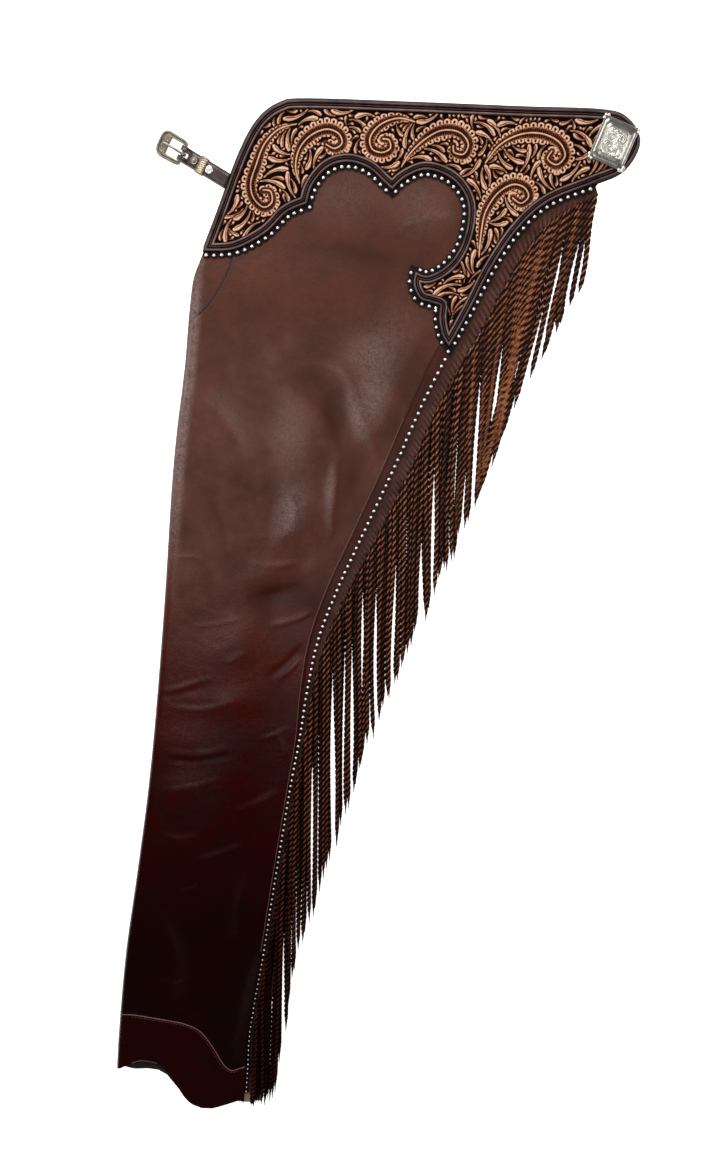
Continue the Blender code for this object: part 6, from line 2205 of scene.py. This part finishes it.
def build_concho(m):
    rest = yoke_point(*CONCHO_CENTRE, 4.3)[0, 2] + GAP
    turn = math.radians(CONCHO_TURN)
    half_x, half_y = CONCHO_SIZE[0] / 2, CONCHO_SIZE[1] / 2
    outline = dense(concho_outline(), 0.4)
    step = dense(rounded_box(0.0, 0.0, half_x - 2.6, half_y - 2.6, 2.0, 6), 0.5)
    centre = dense(rounded_box(0.0, 0.0, half_x - 5.0, half_y - 5.0, 2.5, 6), 0.5)
    drawing = engraved(moved_out(centre, -0.9), [], CONCHO_SCROLLS)

    def place(x, y, height):
        return np.column_stack([CONCHO_CENTRE[0] + x * math.cos(turn) - y * math.sin(turn),
                                CONCHO_CENTRE[1] + x * math.sin(turn) + y * math.cos(turn),
                                rest + height])

    def details(x, y):
        places = np.column_stack([x, y])
        from_edge = nearest(outline, places, True)[0]
        to_step, to_centre = (nearest(loop, places, True)[0] * np.where(
            inside_many(loop, places), 1.0, -1.0) for loop in (step, centre))
        height = 0.75 + 0.35 * smoothstep(0.0, 0.5, from_edge)
        height = height + (CONCHO_THICKNESS - 1.1) * smoothstep(-2.2, 0.0, to_step)
        height = height + 0.5 * smoothstep(-2.0, 0.1, to_centre)
        groove = np.exp(-((to_step + 0.1) / 0.16)**2)
        rope = np.exp(-((to_centre - 0.35) / 0.28)**2)
        inner = to_centre > 0.85
        relief, cut = engraving_at(drawing, x, y)
        height = height - 0.22 * groove + 0.2 * rope + np.where(inner, 0.42 * relief - 0.15, 0.0)
        tone = np.where(inner, 0.38 + 0.62 * cut, 0.26 - 0.2 * groove + 0.3 * rope)
        for bx, by, _ in bead_places():
            r = np.hypot(x - bx, y - by)
            dome = 0.65 + np.sqrt(np.clip((BEAD / 2)**2 - r**2, 0.0, 2.0))
            on_bead = r < BEAD / 2 - 0.05
            height = np.where(on_bead, np.maximum(height, dome), height)
            tone = np.where(on_bead, 1.0 - 0.7 * smoothstep(0.95, 1.35, r), tone)
        return height, tone

    piece, top, bottom = plate("concho", outline, place, 0.0, lambda x, y: details(x, y)[0],
                               [m["carved"], m["silver"], m["silver"]],
                               grid=box_grid(outline, 0.27), under_grid=box_grid(outline, 2.5),
                               clearance=0.14, sharp_above=80.0)
    tone = details(top[:, 0], top[:, 1])[1]
    set_plate_values(piece, "tone", np.clip(tone, 0.0, 1.0), bottom, 0.6)
    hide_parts("concho")
    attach(piece, "leg")


# ============================ zip ============================

TOOTH_PITCH = 2.6
TOOTH_FRONT = (4.2, 7.0)  # how far the teeth of each tape reach, outwards from the side line
TOOTH_BACK = (5.4, 8.2)
TOOTH_HEIGHTS = (1.72, 2.95)
SLIDER = (3.9, 8.6)
SLIDER_ENDS = (-497.5, -489.5)
SLIDER_HEIGHT = 2.0


def build_tapes(m):
    for name, (near, far), end in (("zip_tape_front", TAPE_FRONT, TAPE_FRONT_END),
                                   ("zip_tape_back", TAPE_BACK, TAPE_BACK_END)):
        line = resampled(side_stretch(ZIP_TOP, end), 8.0)
        outline = dense(beside(line, far)[::-1] + beside(line, near), 2.5)
        cord = near + 0.9 if near > 0 else far - 0.9

        def over(x, y, cord=cord):
            across = x - side_x(y)
            ripple = 0.05 * np.cos(y / 1.4) - 0.06
            return TAPE_REST + ZIP_TAPE + ripple - 0.12 * np.exp(-((across - cord) / 0.7)**2)
        piece, _, _ = plate(name, outline, flat_point, TAPE_REST, over, [m["tape"]] * 3,
                            grid=box_grid(outline, 1.9), under_grid=box_grid(outline, 5.0),
                            clearance=0.8)
        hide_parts(name)
        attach(piece, "leg")


def tooth(reach, y, turned):
    """One zip tooth: a shank on the tape that swells into a round head."""
    near, far = reach if not turned else reach[::-1]
    low, high = TOOTH_HEIGHTS
    middle = (low + high) / 2
    rings = []
    for t, width, size in ((0.0, 0.55, 0.8), (0.45, 0.5, 0.85), (0.62, 0.85, 1.0), (0.85, 0.85, 1.0),
                           (1.0, 0.5, 0.7)):
        x = side_x(y) + near + (far - near) * t
        half = (high - low) / 2 * size
        rings.append([(x, y + width / 2 * sy, middle + half * sz)
                      for sy, sz in ((-1, -0.7), (-0.6, -1), (0.6, -1), (1, -0.7), (1, 0.7),
                                     (0.6, 1), (-0.6, 1), (-1, 0.7))])
    return swept(rings)


def build_teeth(m):
    parts = Parts()
    y = ZIP_TOP - 4.0
    turned = False
    while y > SLIDER_ENDS[1] + 2.0:
        vertices, faces = tooth(TOOTH_BACK if turned else TOOTH_FRONT, y, turned)
        parts.add(vertices, facing_out(vertices, faces))
        turned = not turned
        y -= TOOTH_PITCH / 2
    piece = parts.build("zip_teeth", [m["teeth"]], 50.0)
    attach(piece, "leg")


def build_slider(m):
    """The slider: a waisted body with a bridge and a short puller lying along it."""
    low, high = SLIDER_ENDS
    rest = TAPE_REST + ZIP_TAPE + GAP
    middle = (low + high) / 2
    centre = float(side_x(middle)) + (SLIDER[0] + SLIDER[1]) / 2
    half_x, half_y = (SLIDER[1] - SLIDER[0]) / 2, (high - low) / 2
    body = [(x * (1.0 - 0.22 * math.exp(-((y + 0.4) / 1.4)**2)), y)
            for x, y in dense(rounded_box(0.0, 0.0, half_x, half_y, 1.3, 6), 0.35)]

    def place(x, y, height):
        return np.column_stack([centre + x, middle + y, rest + height])

    def over(x, y):
        from_edge = from_outline(body, x, y)
        shell = 0.55 + 0.55 * smoothstep(0.0, 0.7, from_edge)
        bridge = smoothstep(0.62, 0.30, np.abs(x)) * smoothstep(2.7, 1.6, np.abs(y))
        puller = smoothstep(1.25, 1.05, np.abs(x)) * smoothstep(-3.4, -3.1, y)
        puller = puller * smoothstep(0.4, 0.1, y)
        eye = smoothstep(0.75, 0.5, np.hypot(x, y + 2.4))
        return shell + 0.55 * puller * (1 - 0.8 * eye) + (SLIDER_HEIGHT - 1.75) * bridge
    piece, _, _ = plate("zip_slider", body, place, 0.0, over, [m["black"]] * 3,
                        grid=box_grid(body, 0.2), under_grid=box_grid(body, 1.0),
                        clearance=0.1, sharp_above=50.0)
    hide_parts("zip_slider")
    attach(piece, "leg")


# ============================ the fringe ============================

def strand_rest(y):
    """Height of the lowest strands: on the floor beside the yoke, over the zip below."""
    zip_top = TAPE_REST + ZIP_TAPE + GAP
    return GAP + (zip_top - GAP) * rise(y)


# ply by ply: share of the ply's turn from its start, and distance from the middle
PLY_SECTION = ((0.0, 0.66), (0.36, 1.0), (0.66, 1.0))


def strand_path(root, outward, length, lean, drift, sway, phase):
    """Points down the middle of one strand, in plan."""
    hang = (-math.sin(lean), -math.cos(lean))
    count = max(4, round(length / STRAND_RING))
    points = [root]
    x, y = root
    step = length / count
    for i in range(count):
        s = (i + 0.5) * step
        turned = smoothstep(-8.0, 5.0, s)
        dx = outward[0] * (1 - turned) + hang[0] * turned
        dy = outward[1] * (1 - turned) + hang[1] * turned
        size = math.hypot(dx, dy)
        t = s / length
        side = drift * 2 * t / length + sway * math.cos(phase + 5.0 * t) * 5.0 / length
        x += (dx / size + side * turned) * step
        y += dy / size * step
        points.append((x, y))
    return points


def strand_mesh(points, layer_height, turn):
    """Twisted rings round a strand's middle line."""
    rings, uvs, flank_shades = [], [], []
    length = line_length(points)
    for k, (x, y) in enumerate(points):
        nx, ny = normal_at(points, k)
        walked = length * k / (len(points) - 1)
        t = walked / length
        narrow = 1.0 - 0.12 * t - 0.72 * smoothstep(0.90, 1.0, t)
        narrow *= 0.72 + 0.28 * smoothstep(0.0, 0.05, t)
        half = STRAND_WIDTH / 2 * narrow
        thick = STRAND_THICKNESS / 2 * narrow
        z = strand_rest(y) + STRAND_THICKNESS / 2 + layer_height * (1.0 - 0.25 * t * t)
        spin = turn + 2 * math.pi * walked / STRAND_LAY
        ring = []
        for ply in range(PLIES):
            for share, reach in PLY_SECTION:
                angle = spin + 2 * math.pi * (ply + share) / PLIES
                # how far this place faces sideways or down, for the painted shade on the strand's
                # flanks and underside
                flank_shades.append(max(abs(math.cos(angle)), min(1.0, -3.0 * math.sin(angle))))
                across = math.cos(angle) * reach * half
                ring.append((x + nx * across, y + ny * across,
                             z + math.sin(angle) * reach * thick))
        rings.append(ring)
        uvs.append(walked)
    return rings, uvs, flank_shades


def fringe_roots(part, line):
    """Distances along a header's line at which strands leave it, an even pitch apart
    across the way they hang."""
    roots, walked, across = [], 0.0, part.pitch / 2
    for a, b in zip(line, line[1:]):
        lean = math.radians(through_rows(FRINGE_ROWS, "lean", a[1]))
        across += abs((b[0] - a[0]) * math.cos(lean) - (b[1] - a[1]) * math.sin(lean))
        walked += math.dist(a, b)
        if across >= part.pitch and b[1] > LAST_ROOT:
            across -= part.pitch
            roots.append(walked)
    return roots


STRAND_SHADES = (0, 0, 0, 1, 1, 2, 3)
ROOT_INSET = 1.2          # how far inside the header's edge a strand starts
SHORTEST_STRAND = 25.0
LAYER_STEP = 1.9          # how much higher each layer of strands lies, in a part of few layers
DEEP_LAYER_STEP = 6.9 / 4     # and in one of many
MANY_LAYERS = 4


def hang_length(root, lean):
    """How far a strand hangs from its root before it comes to the line of the tips."""
    x, y = root
    tips_x, tips_y = zip(*FRINGE_TIPS)
    length = 0.0
    while y > max(np.interp(x, tips_x, tips_y), FRINGE_FLOOR) + 1.0:
        x -= math.sin(lean)
        y -= math.cos(lean)
        length += 1.0
    return max(length, SHORTEST_STRAND)


def strand_uvs(face, count, walked, shade):
    """Places in the UV map of a face's corners: round the strand, and along it."""
    if len(face) != 4:
        return [(shade + 0.5, 0.0)] * len(face)
    ring, side = divmod(face[0], count)
    v0, v1 = walked[ring], walked[min(ring + 1, len(walked) - 1)]
    u0, u1 = shade + side / count, shade + (side + 0.999) / count
    return [(u0, v0), (u1, v0), (u1, v1), (u0, v1)]


def build_strands(part, first_number, m):
    """All the strands of one part of the fringe, in one mesh. Returns the next number."""
    line = resampled(side_stretch(part.top - GAP / 2, part.bottom + GAP / 2), 1.0)
    rng = np.random.default_rng(SEED + first_number)
    vertices, faces, loop_uvs, all_flank_shades = [], [], [], []
    roots = fringe_roots(part, line)
    step = DEEP_LAYER_STEP if part.layers >= MANY_LAYERS else LAYER_STEP
    cluster_left, drift_to = 0, 0.0
    for i, distance in enumerate(roots):
        number = first_number + i
        (x, y), (tx, ty) = along_line(line, distance)
        width = through_rows(SIDE_ROWS, "header", y)
        root = (x - ty * (width - ROOT_INSET), y + tx * (width - ROOT_INSET))
        if cluster_left == 0:
            cluster_left = int(rng.integers(2, 6))
            drift_to = rng.uniform(-3.0, 3.0)
            gather = rng.uniform(0.0, 0.9)
            reach = rng.uniform(0.96, 1.03)
            cluster_size = cluster_left
        place_in_cluster = cluster_size - cluster_left
        cluster_left -= 1
        closing = (place_in_cluster - (cluster_size - 1) / 2) * gather
        lean = math.radians(through_rows(FRINGE_ROWS, "lean", y))
        length = hang_length(root, lean) * reach * rng.uniform(0.94, 1.0)
        length = min(length, (y - FRINGE_FLOOR - rng.uniform(0.0, 12.0)) / math.cos(lean))
        points = strand_path(root, (-ty, tx), length, lean, drift_to + closing,
                             rng.uniform(-1.9, 1.9), rng.uniform(0.0, 6.0))
        layer = (number * 2) % part.layers
        rings, walked, flank_shades = strand_mesh(points, layer * step, rng.uniform(0.0, 2.0))
        new, new_faces = swept(rings)
        shade = STRAND_SHADES[int(rng.integers(0, len(STRAND_SHADES)))]
        # the lower layers a step darker: a painted shadow under the strands above them
        shade = min(3, shade + (1 if layer < part.layers // 2 else 0))
        first = len(vertices)
        vertices += new
        all_flank_shades += flank_shades
        for face in new_faces:
            faces.append(tuple(first + j for j in face))
            loop_uvs += strand_uvs(face, len(rings[0]), walked, shade)
    piece = add_mesh(part.name, np.array(vertices), faces, [m["rope"]], sharp_above=60.0)
    set_values(piece, "flank_shade", all_flank_shades)
    layer = piece.data.uv_layers.new(name="strand")
    layer.data.foreach_set("uv", np.array(loop_uvs, np.float32).ravel())
    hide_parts(part.name)
    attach(piece, "leg")
    return first_number + len(roots)


def build_header(part, m):
    """The strip that the strands are cut from: smooth at the seam, pleated at the roots."""
    line = resampled(side_stretch(part.top + 0.1, part.bottom - 0.1), 2.0)
    inner = beside(line, -HEADER_INSET)
    outer = beside(line, lambda y: through_rows(SIDE_ROWS, "header", y))
    pitch = part.pitch

    def place(x, y, height):
        return np.column_stack([x, y, sheet_height(x, y) + height])

    def pleats(x, y):
        distance, along, _ = nearest(line, np.column_stack([x, y]))
        outwards = smoothstep(3.0, 12.0, distance)
        swing = along - distance * 0.55
        return 0.2 * outwards * np.cos(2 * math.pi * swing / (pitch * 1.5))
    loop = outer[::-1] + inner
    piece, upper, lower = plate(part.name + "_header", loop, place,
                                lambda x, y: pleats(x, y) - HEADER / 2,
                                lambda x, y: pleats(x, y) + HEADER / 2,
                                [m["header"], m["suede"], m["edge"]],
                                grid=box_grid(loop, 1.2), clearance=0.6)
    # the pleats' crests lighter: a painted highlight
    ridges = np.clip(pleats(upper[:, 0], upper[:, 1]) * 4.0, 0.0, 1.0)
    set_plate_values(piece, "wear_and_sheen", ridges, lower)
    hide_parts(part.name)
    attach(piece, "leg")


def build_fringe(m):
    number = 0
    for part in FRINGE_PARTS:
        build_header(part, m)
        number = build_strands(part, number, m)


# ============================ camera, light and floor ============================

CAMERA_PLACE = (0.0205, 0.3264, 0.757)
CAMERA_TURN = -15.9
CAMERA_LENS = 26.18


def build_camera():
    data = bpy.data.cameras.new("photo_camera")
    data.lens = CAMERA_LENS
    data.sensor_fit = "VERTICAL"
    data.sensor_height = 36.0
    data.clip_start = 0.01
    camera = bpy.data.objects.new("photo_camera", data)
    camera.location = CAMERA_PLACE
    camera.rotation_euler = (math.radians(CAMERA_TURN), 0.0, 0.0)
    bpy.context.scene.collection.objects.link(camera)
    bpy.context.scene.camera = camera


def add_light(name, place, target, size, power, colour=(1.0, 1.0, 1.0)):
    data = bpy.data.lights.new(name, "AREA")
    data.shape = "RECTANGLE"
    data.size, data.size_y = size
    data.energy = power
    data.color = colour
    light = bpy.data.objects.new(name, data)
    light.location = place
    light.rotation_euler = (Vector(target) - Vector(place)).to_track_quat("-Z", "Y").to_euler()
    bpy.context.scene.collection.objects.link(light)


def build_floor():
    size, drop = 6.0, -0.0004
    mesh = bpy.data.meshes.new("floor")
    mesh.from_pydata([(-size, -size, drop), (size, -size, drop), (size, size, drop),
                      (-size, size, drop)], [], [(0, 1, 2, 3)])
    floor = bpy.data.objects.new("floor", mesh)
    bpy.context.scene.collection.objects.link(floor)
    material, tree, shader = new_material("pale_floor", 0.9, specular=0.1)
    speckle = noise(tree, place_node(tree), 14.0, 3.0)
    tree.links.new(mixed(tree, spread(tree, speckle, 0.3, 0.7), (0.93, 0.93, 0.93),
                         (0.96, 0.96, 0.96)), shader.inputs["Base Color"])
    shader.inputs["Emission Color"].default_value = (1.0, 1.0, 1.0, 1.0)
    shader.inputs["Emission Strength"].default_value = 0.85
    mesh.materials.append(material)


def build_light():
    world = bpy.data.worlds.new("studio")
    bpy.context.scene.world = world
    world.use_nodes = True
    background = world.node_tree.nodes["Background"]
    background.inputs["Color"].default_value = (1.0, 1.0, 1.0, 1.0)
    background.inputs["Strength"].default_value = 0.07
    add_light("key", (-0.25, 1.65, 1.15), (0.0, 0.25, 0.0), (1.5, 0.6), 30.0)
    add_light("sheen", (-0.16, 0.0, 1.2), (-0.1, 0.2, 0.0), (0.55, 0.75), 4.5)
    add_light("left", (-1.5, 0.35, 0.8), (0.0, 0.1, 0.0), (0.5, 1.2), 11.0)
    add_light("right", (1.5, 0.45, 0.9), (0.1, 0.2, 0.0), (0.5, 1.2), 8.0)
    view = bpy.context.scene.view_settings
    view.view_transform = "Standard"
    view.look = "None"
    view.exposure = 0.0


# ============================ everything ============================


BUILDERS = (build_front, build_inner_thigh, build_hem_band, build_back, build_seams,
            build_side_strip, build_underlay, build_border, build_tooled_field, build_spots,
            build_fringe, build_strap, build_keeper, build_screws, build_frame, build_tongue,
            build_concho, build_tapes, build_teeth, build_slider)


def main():
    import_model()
    m = make_materials()
    build_camera()
    build_floor()
    build_light()
    for build in BUILDERS:
        build(m)
    bpy.context.view_layer.update()


main()
